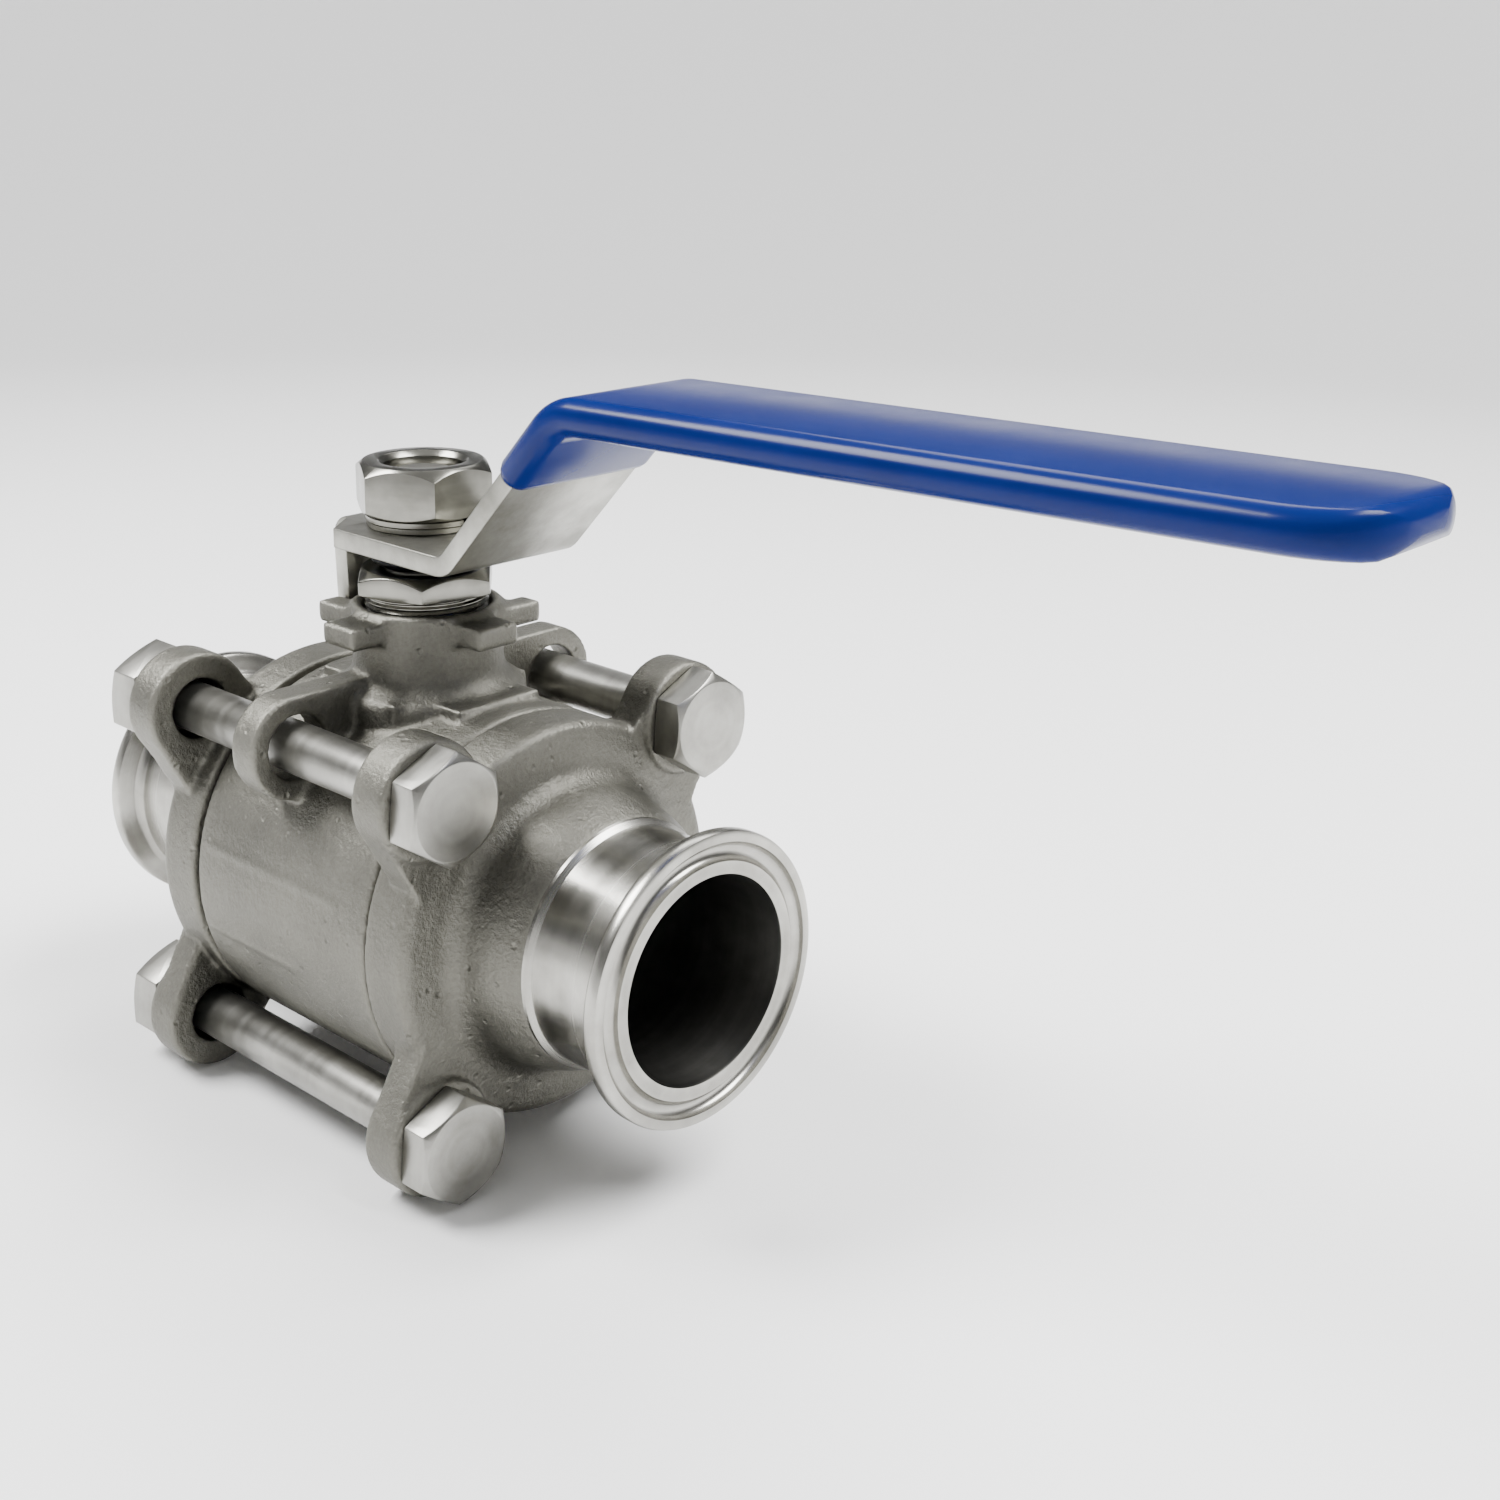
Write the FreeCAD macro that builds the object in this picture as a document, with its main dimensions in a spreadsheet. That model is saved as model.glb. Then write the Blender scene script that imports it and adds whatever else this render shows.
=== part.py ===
import FreeCAD, Part
import math
import os

import Sketcher

# A three-piece sanitary ball valve with clamp ferrules, shown open.
# The frame: the origin is the centre of the ball, where the flow axis (X) crosses the stem axis (Z).
# The lever points along +X when the valve is open, and turns clockwise from above to close it.

doc = FreeCAD.newDocument("ball_valve")
sheet = doc.addObject("Spreadsheet::Sheet", "Sizes")

DIMENSIONS = [
    ("face_to_face", 139.7, "over both ferrule faces"),
    ("bore_dia", 35.7, "full bore, through the caps and the ball"),
    ("ball_dia", 54.0, "ball"),
    ("barrel_wall", 8.2, "from the ball's surface to the outside of the body and the cap discs"),
    ("cavity_gap", 2.0, "between the ball and the wall of its cavity"),
    ("register_wall", 3.0, "from the cavity's wall to the counterbore for the cap"),
    ("register_depth", 4.0, "depth of that counterbore"),
    ("register_long", 2.4, "length of the cap's register"),
    ("joint_inset", 2.0, "how far the cap joints lie inside the ball's ends"),
    ("slip", 0.1, "gap between parts that slip together"),
    ("broken_edge", 0.4, "chamfer on a turned edge"),
    ("cap_disc", 10.4, "thickness of the cap disc"),
    ("disc_round", 1.6, "rounding of the disc's front edge"),
    ("dish_rise", 1.0, "how far the disc's face rises towards the hub"),
    ("hub_inset", 10.2, "from the outside of the disc in to the cast hub"),
    ("hub_fillet", 4.5, "hollow between the disc and the hub"),
    ("hub_lip", 0.9, "how far the hub's end stands above the turned neck"),
    ("neck_dia", 42.0, "turned neck behind the ferrule"),
    ("neck_long", 19.35, "from the ferrule's face back to the cast hub"),
    ("rim_dia", 50.5, "clamp ferrule"),
    ("rim_edge", 2.7, "thickness of the ferrule at its edge"),
    ("rim_rise", 1.55, "how far the ferrule's back tapers to the neck"),
    ("rim_fillet", 1.2, "rounding between that taper and the neck"),
    ("groove_dia", 43.6, "pitch of the gasket groove in the ferrule's face"),
    ("groove_round", 1.6, "radius of the gasket groove"),
    ("seat_inset", 5.9, "from the register's wall in to the seat ring"),
    ("seat_pocket", 1.9, "depth of the seat's pocket in the register"),
    ("seat_long", 9.7, "seat ring, along the flow"),
    ("seat_lean", 3.2, "length of the seat's straight bore behind the ball"),
    ("seat_face", 2.2, "width of the seat's inner end"),
    ("seat_gap", 0.3, "between the ball and the seat's hollow"),
    ("bolt_side_in", 6.2, "bolt axis, sideways, inside the barrel's radius"),
    ("bolt_up_in", 5.2, "bolt axis, up or down, inside the barrel's radius"),
    ("bolt_dia", 9.0, "plain shank"),
    ("bolt_hole", 11.2, "holes in the cap ears"),
    ("bolt_across", 17.0, "bolt head and nut, across the flats"),
    ("bolt_head", 6.2, "height of the bolt head"),
    ("bolt_nut", 8.2, "height of the bolt nut"),
    ("bolt_tail", 2.0, "how far the bolt stands out of its nut"),
    ("bolt_end", 1.0, "chamfer on the bolt's end"),
    ("ear_round", 10.3, "radius of a cap ear round its bolt"),
    ("ear_step", 3.8, "from the joint to the inner face of the cap ears"),
    ("ear_proud", 1.4, "how far the ears stand in front of the disc"),
    ("lug_round", 9.4, "radius of a body lug round its bolt"),
    ("lug_hole", 11.6, "clearance hole in a body lug"),
    ("lug_front", 0.8, "front face of the body lugs, from the stem axis"),
    ("lug_thick", 6.6, "thickness of the body lugs"),
    ("stem_dia", 14.0, "stem"),
    ("stem_running", 0.3, "gap round the stem"),
    ("stem_end", 1.0, "chamfer on the stem's top"),
    ("collar_dia", 19.0, "collar that keeps the stem in"),
    ("collar_step", 1.2, "from the ball's top to the collar"),
    ("collar_thick", 3.2, "thickness of the collar"),
    ("collar_edge", 0.6, "chamfer under the collar"),
    ("thrust_thick", 1.6, "thrust washer"),
    ("tongue_deep", 5.3, "how far the tongue reaches into the ball"),
    ("tongue_wide", 7.0, "tongue, along the flow"),
    ("tongue_long", 13.0, "tongue, across the flow"),
    ("tongue_play", 0.3, "play of the tongue in its slot"),
    ("flats_across", 10.0, "flats at the top of the stem"),
    ("root", 0.6, "how deep inside a wall the pads that grow from it start"),
    ("bonnet_round", 13.4, "radius of the bonnet"),
    ("bonnet_rise", 15.6, "from the barrel's top to the bonnet's top"),
    ("chamber_deep", 12.8, "packing chamber, from the bonnet's top"),
    ("chamber_dia", 22.0, "packing chamber and gland thread"),
    ("packing_thick", 1.6, "one packing ring"),
    ("follower_thick", 2.2, "gland follower"),
    ("gland_step", 1.9, "from the bonnet's top to the gland nut's hexagon"),
    ("gland_hex", 4.4, "height of the gland nut's hexagon"),
    ("gland_across", 22.8, "gland nut, across the flats"),
    ("crown_inset", 4.0, "from the joint with a cap to the cross-shaped pad under the bonnet"),
    ("crown_side", 33.0, "that pad, across the flow"),
    ("crown_narrow", 20.5, "width of each arm of that pad"),
    ("crown_proud", 0.8, "how far the pad stands above the barrel"),
    ("catch_reach", 6.3, "how far the locking ears stand out of the bonnet"),
    ("catch_wide", 8.8, "width of the locking ears"),
    ("catch_thick", 3.9, "thickness of the locking ears and travel stops"),
    ("catch_drop", 1.3, "how far they lie below the bonnet's top"),
    ("stop_wide", 5.2, "width of the travel stops"),
    ("stop_reach", 3.2, "how far the travel stops stand out of the bonnet"),
    ("stop_gap", 0.15, "between the lever's tab and a stop at rest"),
    ("lever_step", 10.2, "from the bonnet's top to the lever's underside"),
    ("lever_thick", 3.5, "lever plate"),
    ("lever_wide", 28.0, "lever plate"),
    ("lever_reach", 181.6, "tip of the lever plate, from the stem axis"),
    ("lever_bend", 22.6, "where the lever starts to rise, at its underside"),
    ("lever_angle", 46.5, "slope of the rising part, degrees"),
    ("lever_rise", 29.2, "height of the upper bend above the lower one"),
    ("lever_tip_rise", 3.4, "height of the tip above the upper bend"),
    ("bend_inside", 3.0, "inner radius of the lever's lower bends"),
    ("top_bend_inside", 8.0, "inner radius of the lever's upper bend"),
    ("tab_gap", 0.7, "between the bonnet and the lever's stop tab"),
    ("tab_wide", 13.0, "stop tab"),
    ("tab_long", 14.0, "stop tab, below the lever's underside"),
    ("tail_straight", 7.8, "where the tail's corners start to taper"),
    ("tip_taper", 8.6, "taper at the tip's corners"),
    ("tip_round", 6.0, "rounding of the tapered corners"),
    ("grip_wall", 1.4, "wall of the vinyl sleeve"),
    ("grip_start", 39.5, "where the sleeve starts on the slope"),
    ("grip_edge", 2.6, "rounding of the sleeve's long edges"),
    ("spring_thick", 3.6, "pair of disc springs under the lever"),
    ("spring_dia", 19.5, "disc spring, outside"),
    ("washer_thick", 2.4, "split lock washer"),
    ("washer_dia", 20.8, "split lock washer, outside"),
    ("washer_split", 1.2, "width of the washer's split"),
    ("nut_across", 22.0, "stem nut, across the flats"),
    ("nut_thick", 9.1, "stem nut"),
    ("stem_in_nut", 7.3, "how far the stem reaches into its nut"),
]

for row, (alias, value, note) in enumerate(DIMENSIONS, start=1):
    sheet.set("A%d" % row, note)
    sheet.set("B%d" % row, str(value))
    sheet.setAlias("B%d" % row, alias)
doc.recompute()


class Size:
    """A length that keeps both its value and the sheet expression that it comes from."""

    def __init__(self, value, text):
        self.value = value
        self.text = text

    def _join(self, other, sign, value):
        text = other.text if isinstance(other, Size) else repr(other)
        return Size(value, "(%s %s %s)" % (self.text, sign, text))

    def __add__(self, other):
        return self._join(other, "+", self.value + number(other))

    def __sub__(self, other):
        return self._join(other, "-", self.value - number(other))

    def __mul__(self, other):
        return self._join(other, "*", self.value * number(other))

    def __truediv__(self, other):
        return self._join(other, "/", self.value / number(other))

    def __neg__(self):
        return Size(-self.value, "(0 - %s)" % self.text)


def number(item):
    return item.value if isinstance(item, Size) else float(item)


def sine(angle):
    """Sine of an angle that the sheet holds in degrees."""
    return Size(math.sin(math.radians(angle.value)), "sin(%s * 1deg)" % angle.text)


def cosine(angle):
    return Size(math.cos(math.radians(angle.value)), "cos(%s * 1deg)" % angle.text)


def tangent(angle):
    return Size(math.tan(math.radians(angle.value)), "tan(%s * 1deg)" % angle.text)


def plain(value):
    return Size(float(value), repr(float(value)))


class Sheet:
    """Every driving dimension by its name."""

    def __getattr__(self, alias):
        return Size(float(sheet.get(alias)), "Sizes." + alias)


size = Sheet()
zero = plain(0)
PLANE_FOR = {"XY": "XY_Plane", "XZ": "XZ_Plane", "YZ": "YZ_Plane"}
subparts = []


def origin_feature(body, role):
    return [item for item in body.Origin.OriginFeatures if item.Role == role][0]


def new_body(label):
    body = doc.addObject("PartDesign::Body", label)
    body.Label = label
    subparts.append(body)
    return body


def new_sketch(body, plane, lift=None):
    """A sketch on one of the body's own origin planes, lifted along its normal."""
    sketch = body.newObject("Sketcher::SketchObject", "Sketch")
    sketch.AttachmentSupport = [(origin_feature(body, PLANE_FOR[plane]), "")]
    sketch.MapMode = "FlatFace"
    if lift is not None:
        sketch.AttachmentOffset.Base.z = lift.value
        sketch.setExpression("AttachmentOffset.Base.z", lift.text)
    return sketch


def bind(sketch, constraint, item):
    index = sketch.addConstraint(constraint)
    sketch.setExpression("Constraints[%d]" % index, item.text)


def draw_outline(sketch, corners):
    """A closed outline of straight lines, each corner tied to the sheet."""
    first = sketch.GeometryCount
    total = len(corners)
    spots = [FreeCAD.Vector(a.value, b.value, 0) for a, b in corners]
    for index in range(total):
        line = Part.LineSegment(spots[index], spots[(index + 1) % total])
        sketch.addGeometry(line, False)
    for index in range(total):
        after = first + (index + 1) % total
        sketch.addConstraint(Sketcher.Constraint("Coincident", first + index, 2, after, 1))
    for index, (a, b) in enumerate(corners):
        bind(sketch, Sketcher.Constraint("DistanceX", -1, 1, first + index, 1, a.value), a)
        bind(sketch, Sketcher.Constraint("DistanceY", -1, 1, first + index, 1, b.value), b)


def draw_circle(sketch, across, up, radius):
    index = sketch.GeometryCount
    centre = FreeCAD.Vector(across.value, up.value, 0)
    sketch.addGeometry(Part.Circle(centre, FreeCAD.Vector(0, 0, 1), radius.value), False)
    bind(sketch, Sketcher.Constraint("Radius", index, radius.value), radius)
    bind(sketch, Sketcher.Constraint("DistanceX", -1, 1, index, 3, across.value), across)
    bind(sketch, Sketcher.Constraint("DistanceY", -1, 1, index, 3, up.value), up)


def turn(body, kind, corners, axis):
    """Turns an outline on the XZ plane round the X axis ("H_Axis") or the Z axis ("V_Axis")."""
    sketch = new_sketch(body, "XZ")
    draw_outline(sketch, corners)
    feature = body.newObject("PartDesign::" + kind, kind)
    feature.Profile = sketch
    feature.ReferenceAxis = (sketch, [axis])
    feature.Angle = 360
    sketch.Visibility = False
    doc.recompute()
    return feature


def push(body, kind, sketch, length, reverse=False, both_ways=False):
    """Pads or pockets a sketch by a length, or half of it each way."""
    before = body.Shape.Volume if body.Tip and body.Shape and not body.Shape.isNull() else 0
    feature = body.newObject("PartDesign::" + kind, kind)
    feature.Profile = sketch
    feature.Length = length.value
    feature.setExpression("Length", length.text)
    feature.Reversed = reverse
    feature.Midplane = both_ways
    sketch.Visibility = False
    doc.recompute()
    changed = body.Shape.Volume - before
    if kind == "Pocket" and changed >= 0 or kind == "Pad" and changed <= 0:
        raise ValueError("%s of %s changes nothing" % (kind, body.Label))
    return feature


def round_off(body, radius, wanted):
    """Rounds the tip's edges that pass the test, which is given each edge."""
    tip = body.Tip
    names = ["Edge%d" % n for n, edge in enumerate(tip.Shape.Edges, start=1) if wanted(edge)]
    if not names:
        raise ValueError("no edge to round on " + body.Label)
    feature = body.newObject("PartDesign::Fillet", "Fillet")
    feature.Base = (tip, names)
    feature.Radius = radius.value
    feature.setExpression("Radius", radius.text)
    doc.recompute()
    return feature


def near(value, item):
    return abs(value - item.value) < 1e-2


def round_circle(body, radius, along, circle_radius):
    """Rounds the turned edge that lies at one place along the X axis."""
    round_off(body, radius, lambda edge: edge.BoundBox.XLength < 1e-3 and near(edge.BoundBox.XMin, along)
              and near(edge.BoundBox.YMax, circle_radius))


def round_across(body, radius, spot):
    """Rounds the edge that runs straight across a strip through one spot of its side."""
    along, up = spot
    round_off(body, radius, lambda edge: edge.BoundBox.XLength < 1e-3 and edge.BoundBox.ZLength < 1e-3
              and near(edge.BoundBox.XMin, along) and near(edge.BoundBox.ZMin, up))


def place(body, along=zero, side=zero, up=zero, axis=(0, 0, 1), angle=0):
    body.Placement = FreeCAD.Placement(
        FreeCAD.Vector(along.value, side.value, up.value),
        FreeCAD.Rotation(FreeCAD.Vector(*axis), angle))
    body.setExpression("Placement.Base.x", along.text)
    body.setExpression("Placement.Base.y", side.text)
    body.setExpression("Placement.Base.z", up.text)


def on_circle(across, up, radius, degrees):
    """A point on a circle, at an angle from the sketch's first axis."""
    turned = math.radians(degrees)
    return (across + radius * math.cos(turned), up + radius * math.sin(turned))


def hexagon(across, turned=0):
    """Corners of a hexagon by its width across the flats, the first turned by some degrees."""
    corner = across / math.sqrt(3)
    angles = [math.radians(turned + 60 * n) for n in range(6)]
    return [(corner * math.cos(a), corner * math.sin(a)) for a in angles]


def break_corners(body, across, level, inward, depth=0.12):
    """Turns a hexagon's corners off. inward is +1 at an underside and -1 at a top."""
    flat = across * 0.475
    far = across * 0.62
    turn(body, "Groove", [
        (flat, level), (far, level), (far, level + across * (inward * depth / 2))], "V_Axis")


def ring(label, inner, outer, low, thick):
    """A plain ring round the stem."""
    body = new_body(label)
    turn(body, "Revolution", [
        (inner, low), (outer, low), (outer, low + thick), (inner, low + thick)], "V_Axis")
    place(body)
    return body


CORNERS = [("top_near", -1, 1), ("bottom_near", -1, -1), ("top_far", 1, 1), ("bottom_far", 1, -1)]
ENDS = [("front", 0), ("rear", 180)]
SIDES = (-1, 1)
BOLT_TURN = -5
GLAND_TURN = 18
NUT_TURN = 30

# Places along the flow axis and radii about it, all worked out from the ball.
ball_round = size.ball_dia / 2
bore = size.bore_dia / 2
cavity = ball_round + size.cavity_gap
register = cavity + size.register_wall
barrel = ball_round + size.barrel_wall
joint = ball_round - size.joint_inset
seat_outside = register - size.seat_inset
register_floor = joint - size.register_depth
register_end = joint - size.register_long
disc_front = joint + size.cap_disc
ear_back = joint + size.ear_step
ear_front = disc_front + size.ear_proud
face = size.face_to_face / 2
bolt_side = barrel - size.bolt_side_in
bolt_up = barrel - size.bolt_up_in

# Levels up the stem axis.
collar_low = ball_round + size.collar_step
collar_top = collar_low + size.collar_thick
bonnet_top = barrel + size.bonnet_rise
chamber_low = bonnet_top - size.chamber_deep
gland_hex_low = bonnet_top + size.gland_step
lever_low = bonnet_top + size.lever_step
lever_high = lever_low + size.lever_thick
nut_low = lever_high + size.washer_thick
nut_top = nut_low + size.nut_thick
stem_top = nut_low + size.stem_in_nut

stem = size.stem_dia / 2
running = stem + size.stem_running
collar = size.collar_dia / 2
chamber = size.chamber_dia / 2


def signed(item, sign):
    return item if sign > 0 else -item


def mirrored(outline, side_sign, up_sign=1):
    return [(signed(a, side_sign), signed(b, up_sign)) for a, b in outline]


# End caps: a cast disc with four ears, a turned neck and a clamp ferrule. Both are the same casting,
# the rear one turned half round the stem axis.
def end_cap(label, angle):
    body = new_body(label)
    neck = size.neck_dia / 2
    rim = size.rim_dia / 2
    hub = barrel - size.hub_inset
    rim_back = face - size.rim_edge
    neck_start = face - size.neck_long
    hub_foot = disc_front + size.dish_rise
    seat_floor = register_end + size.seat_pocket
    seat_wall = seat_outside + size.slip
    joint_face = joint + size.slip
    turn(body, "Revolution", [
        (face, bore + size.broken_edge), (face - size.broken_edge, bore), (seat_floor, bore),
        (seat_floor, seat_wall), (register_end, seat_wall), (register_end, register - size.slip),
        (joint_face, register - size.slip), (joint_face, barrel - size.broken_edge),
        (joint_face + size.broken_edge, barrel), (disc_front, barrel), (hub_foot, hub),
        (neck_start - size.hub_lip, neck + size.hub_lip), (neck_start, neck),
        (rim_back - size.rim_rise, neck), (rim_back, rim), (face, rim)], "H_Axis")
    round_circle(body, size.rim_fillet, rim_back - size.rim_rise, neck)
    round_circle(body, size.hub_fillet, hub_foot, hub)
    round_circle(body, size.disc_round, disc_front, barrel)

    # The gasket groove in the ferrule's face.
    groove = new_sketch(body, "XZ")
    draw_circle(groove, face, size.groove_dia / 2, size.groove_round)
    cut = body.newObject("PartDesign::Groove", "Groove")
    cut.Profile = groove
    cut.ReferenceAxis = (groove, ["H_Axis"])
    cut.Angle = 360
    groove.Visibility = False
    doc.recompute()

    # Four ears, each a round boss and a web that runs into the disc.
    bosses = new_sketch(body, "YZ", ear_back)
    webs = new_sketch(body, "YZ", ear_back)
    holes = new_sketch(body, "YZ", ear_back)
    web = [on_circle(bolt_side, bolt_up, size.ear_round, -26),
           on_circle(bolt_side, bolt_up, size.ear_round, 128),
           on_circle(zero, zero, barrel * 0.95, 58), on_circle(zero, zero, barrel * 0.6, 35),
           on_circle(zero, zero, barrel * 0.98, 24)]
    for _, y_sign, z_sign in CORNERS:
        draw_circle(bosses, signed(bolt_side, y_sign), signed(bolt_up, z_sign), size.ear_round)
        draw_outline(webs, mirrored(web, y_sign, z_sign))
        draw_circle(holes, signed(bolt_side, y_sign), signed(bolt_up, z_sign), size.bolt_hole / 2)
    push(body, "Pad", bosses, ear_front - ear_back)
    push(body, "Pad", webs, ear_front - ear_back)
    push(body, "Pocket", holes, ear_front - ear_back, reverse=True)
    place(body, angle=angle)


for name, angle in ENDS:
    end_cap("end_cap_" + name, angle)


# The body: a barrel with the ball's cavity, the bonnet with its ears and stops, and two bolt lugs.
body = new_body("body")
end = joint - size.slip
turn(body, "Revolution", [
    (-end, register), (-end, barrel - size.broken_edge), (-end + size.broken_edge, barrel),
    (end - size.broken_edge, barrel), (end, barrel - size.broken_edge), (end, register),
    (register_floor, register), (register_floor, cavity), (-register_floor, cavity),
    (-register_floor, register)], "H_Axis")

bonnet_root = cavity + size.root
bonnet = new_sketch(body, "XY", bonnet_root)
draw_circle(bonnet, zero, zero, size.bonnet_round)
push(body, "Pad", bonnet, bonnet_top - bonnet_root)

# A low cross-shaped pad where the bonnet stands on the barrel.
crown_narrow = size.crown_narrow / 2
for half_along, half_side in ((joint - size.crown_inset, crown_narrow), (crown_narrow, size.crown_side / 2)):
    crown = new_sketch(body, "XY", bonnet_root)
    draw_outline(crown, [(-half_along, -half_side), (half_along, -half_side),
                         (half_along, half_side), (-half_along, half_side)])
    push(body, "Pad", crown, barrel + size.crown_proud - bonnet_root)

# Two locking ears point to the near side and to the front. Two travel stops meet the lever's tab.
catch_low = bonnet_top - size.catch_drop - size.catch_thick
half_catch = size.catch_wide / 2
catch_out = size.bonnet_round + size.catch_reach
catch_root = size.bonnet_round * 0.6
stop_near = size.tab_wide / 2 + size.stop_gap
stop_far = stop_near + size.stop_wide
stop_out = size.bonnet_round + size.stop_reach
stop_root = size.bonnet_round * 0.5
for outline in (
        [(-half_catch, -catch_root), (-half_catch, -catch_out), (half_catch, -catch_out),
         (half_catch, -catch_root)],
        [(catch_root, -half_catch), (catch_out, -half_catch), (catch_out, half_catch),
         (catch_root, half_catch)],
        [(-stop_root, -stop_near), (-stop_out, -stop_near), (-stop_out, -stop_far),
         (-stop_root, -stop_far)],
        [(stop_near, stop_root), (stop_near, stop_out), (stop_far, stop_out), (stop_far, stop_root)]):
    arm = new_sketch(body, "XY", catch_low)
    draw_outline(arm, outline)
    push(body, "Pad", arm, size.catch_thick)

# Lugs that hold the two upper bolts, with webs to the bonnet.
lug_back = size.lug_front - size.lug_thick
lugs = new_sketch(body, "YZ", lug_back)
webs = new_sketch(body, "YZ", lug_back)
holes = new_sketch(body, "YZ", lug_back)
lug_top = on_circle(bolt_side, bolt_up, size.lug_round, 78)
web = [on_circle(bolt_side, bolt_up, size.lug_round, -120), lug_top,
       (size.bonnet_round * 0.8, lug_top[1]), (size.bonnet_round * 0.8, bolt_up)]
for y_sign in SIDES:
    draw_circle(lugs, signed(bolt_side, y_sign), bolt_up, size.lug_round)
    draw_outline(webs, mirrored(web, y_sign))
    draw_circle(holes, signed(bolt_side, y_sign), bolt_up, size.lug_hole / 2)
push(body, "Pad", lugs, size.lug_thick)
push(body, "Pad", webs, size.lug_thick)
push(body, "Pocket", holes, size.lug_thick, reverse=True)

# The stem's bore: a pocket for the collar from inside, a running bore and the packing chamber.
pocket_top = collar_top + size.thrust_thick + size.slip
turn(body, "Groove", [
    (zero, cavity * 0.8), (collar + size.stem_running, cavity * 0.8),
    (collar + size.stem_running, pocket_top), (running, pocket_top), (running, chamber_low),
    (chamber, chamber_low), (chamber, bonnet_top + size.root), (zero, bonnet_top + size.root)], "V_Axis")
place(body)


# Seats and joint rings are PTFE, and sit in each cap's register.
def seat(label, angle):
    body = new_body(label)
    floor = register_end + size.seat_pocket
    inner_end = floor - size.seat_long
    inside = bore + size.slip
    turn(body, "Revolution", [
        (floor, inside), (floor, seat_outside), (inner_end, seat_outside),
        (inner_end, seat_outside - size.seat_face), (floor - size.seat_lean, inside)], "H_Axis")
    hollow = body.newObject("PartDesign::SubtractiveSphere", "Hollow")
    hollow_round = ball_round + size.seat_gap
    hollow.Radius = hollow_round.value
    hollow.setExpression("Radius", hollow_round.text)
    doc.recompute()
    place(body, angle=angle)


def joint_ring(label, angle):
    body = new_body(label)
    inside = cavity + size.slip
    outside = register - size.slip
    turn(body, "Revolution", [
        (register_floor, inside), (register_end, inside), (register_end, outside),
        (register_floor, outside)], "H_Axis")
    place(body, angle=angle)


for name, angle in ENDS:
    seat("seat_" + name, angle)
    joint_ring("joint_ring_" + name, angle)


# The ball, with a slot across its top for the stem's tongue.
def primitive(kind, label, **sizes):
    item = doc.addObject("Part::" + kind, label)
    for name, item_size in sizes.items():
        setattr(item, name, item_size.value)
        item.setExpression(name, item_size.text)
    return item


def shift(item, **ways):
    for way, amount in ways.items():
        setattr(item.Placement.Base, way, amount.value)
        item.setExpression("Placement.Base." + way, amount.text)


def boolean(kind, label, base, tool):
    item = doc.addObject("Part::" + kind, label)
    item.Base = base
    item.Tool = tool
    item.Label = label
    return item


sphere = primitive("Sphere", "ball_blank", Radius=ball_round)
waterway = primitive("Cylinder", "ball_waterway", Radius=bore, Height=size.ball_dia * 1.2)
waterway.Placement.Rotation = FreeCAD.Rotation(FreeCAD.Vector(0, 1, 0), 90)
shift(waterway, x=-(size.ball_dia * 0.6))
slot_wide = size.tongue_wide + size.tongue_play
slot = primitive("Box", "ball_slot", Length=slot_wide, Width=size.ball_dia, Height=ball_round)
shift(slot, x=-(slot_wide / 2), y=-ball_round, z=ball_round - size.tongue_deep - size.tongue_play)
subparts.append(boolean("Cut", "ball", boolean("Cut", "ball_bored", sphere, waterway), slot))

# The stem, turned in one piece, with a tongue below its collar and two flats at its top.
body = new_body("stem")
turn(body, "Revolution", [
    (zero, collar_low), (collar - size.collar_edge, collar_low), (collar, collar_low + size.collar_edge),
    (collar, collar_top), (stem, collar_top), (stem, stem_top - size.stem_end),
    (stem - size.stem_end, stem_top), (zero, stem_top)], "V_Axis")
tongue = new_sketch(body, "XY", ball_round - size.tongue_deep)
half_wide = size.tongue_wide / 2
half_long = size.tongue_long / 2
draw_outline(tongue, [(-half_wide, -half_long), (half_wide, -half_long), (half_wide, half_long),
                      (-half_wide, half_long)])
push(body, "Pad", tongue, size.tongue_deep + size.collar_step + size.root)
flats_low = lever_low - size.broken_edge
flats = new_sketch(body, "XY", flats_low)
for y_sign in SIDES:
    draw_outline(flats, mirrored([
        (-size.stem_dia, size.flats_across / 2), (size.stem_dia, size.flats_across / 2),
        (size.stem_dia, size.stem_dia), (-size.stem_dia, size.stem_dia)], 1, y_sign))
push(body, "Pocket", flats, stem_top - flats_low, reverse=True)
place(body)

# Rings round the stem, from the collar up to the gland.
ring("thrust_washer", running, collar, collar_top, size.thrust_thick)
packing_top = chamber_low
for name in ("lower", "middle", "upper"):
    ring("packing_" + name, running, chamber - size.slip, packing_top, size.packing_thick)
    packing_top = packing_top + size.packing_thick
ring("gland_follower", running, chamber - size.slip * 2, packing_top, size.follower_thick)

# The gland nut screws down into the bonnet and presses on the follower.
body = new_body("gland_nut")
shank_low = packing_top + size.follower_thick
lead_in = size.broken_edge * 2
turn(body, "Revolution", [
    (running, shank_low), (chamber - lead_in, shank_low), (chamber, shank_low + lead_in),
    (chamber, gland_hex_low + size.root), (running, gland_hex_low + size.root)], "V_Axis")
head = new_sketch(body, "XY", gland_hex_low)
draw_outline(head, hexagon(size.gland_across, GLAND_TURN))
draw_circle(head, zero, zero, running)
push(body, "Pad", head, size.gland_hex)
break_corners(body, size.gland_across, gland_hex_low + size.gland_hex, -1)
break_corners(body, size.gland_across, gland_hex_low, 1)
place(body)

ring("disc_spring", stem + size.slip / 2, size.spring_dia / 2, lever_low - size.spring_thick,
     size.spring_thick)


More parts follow.
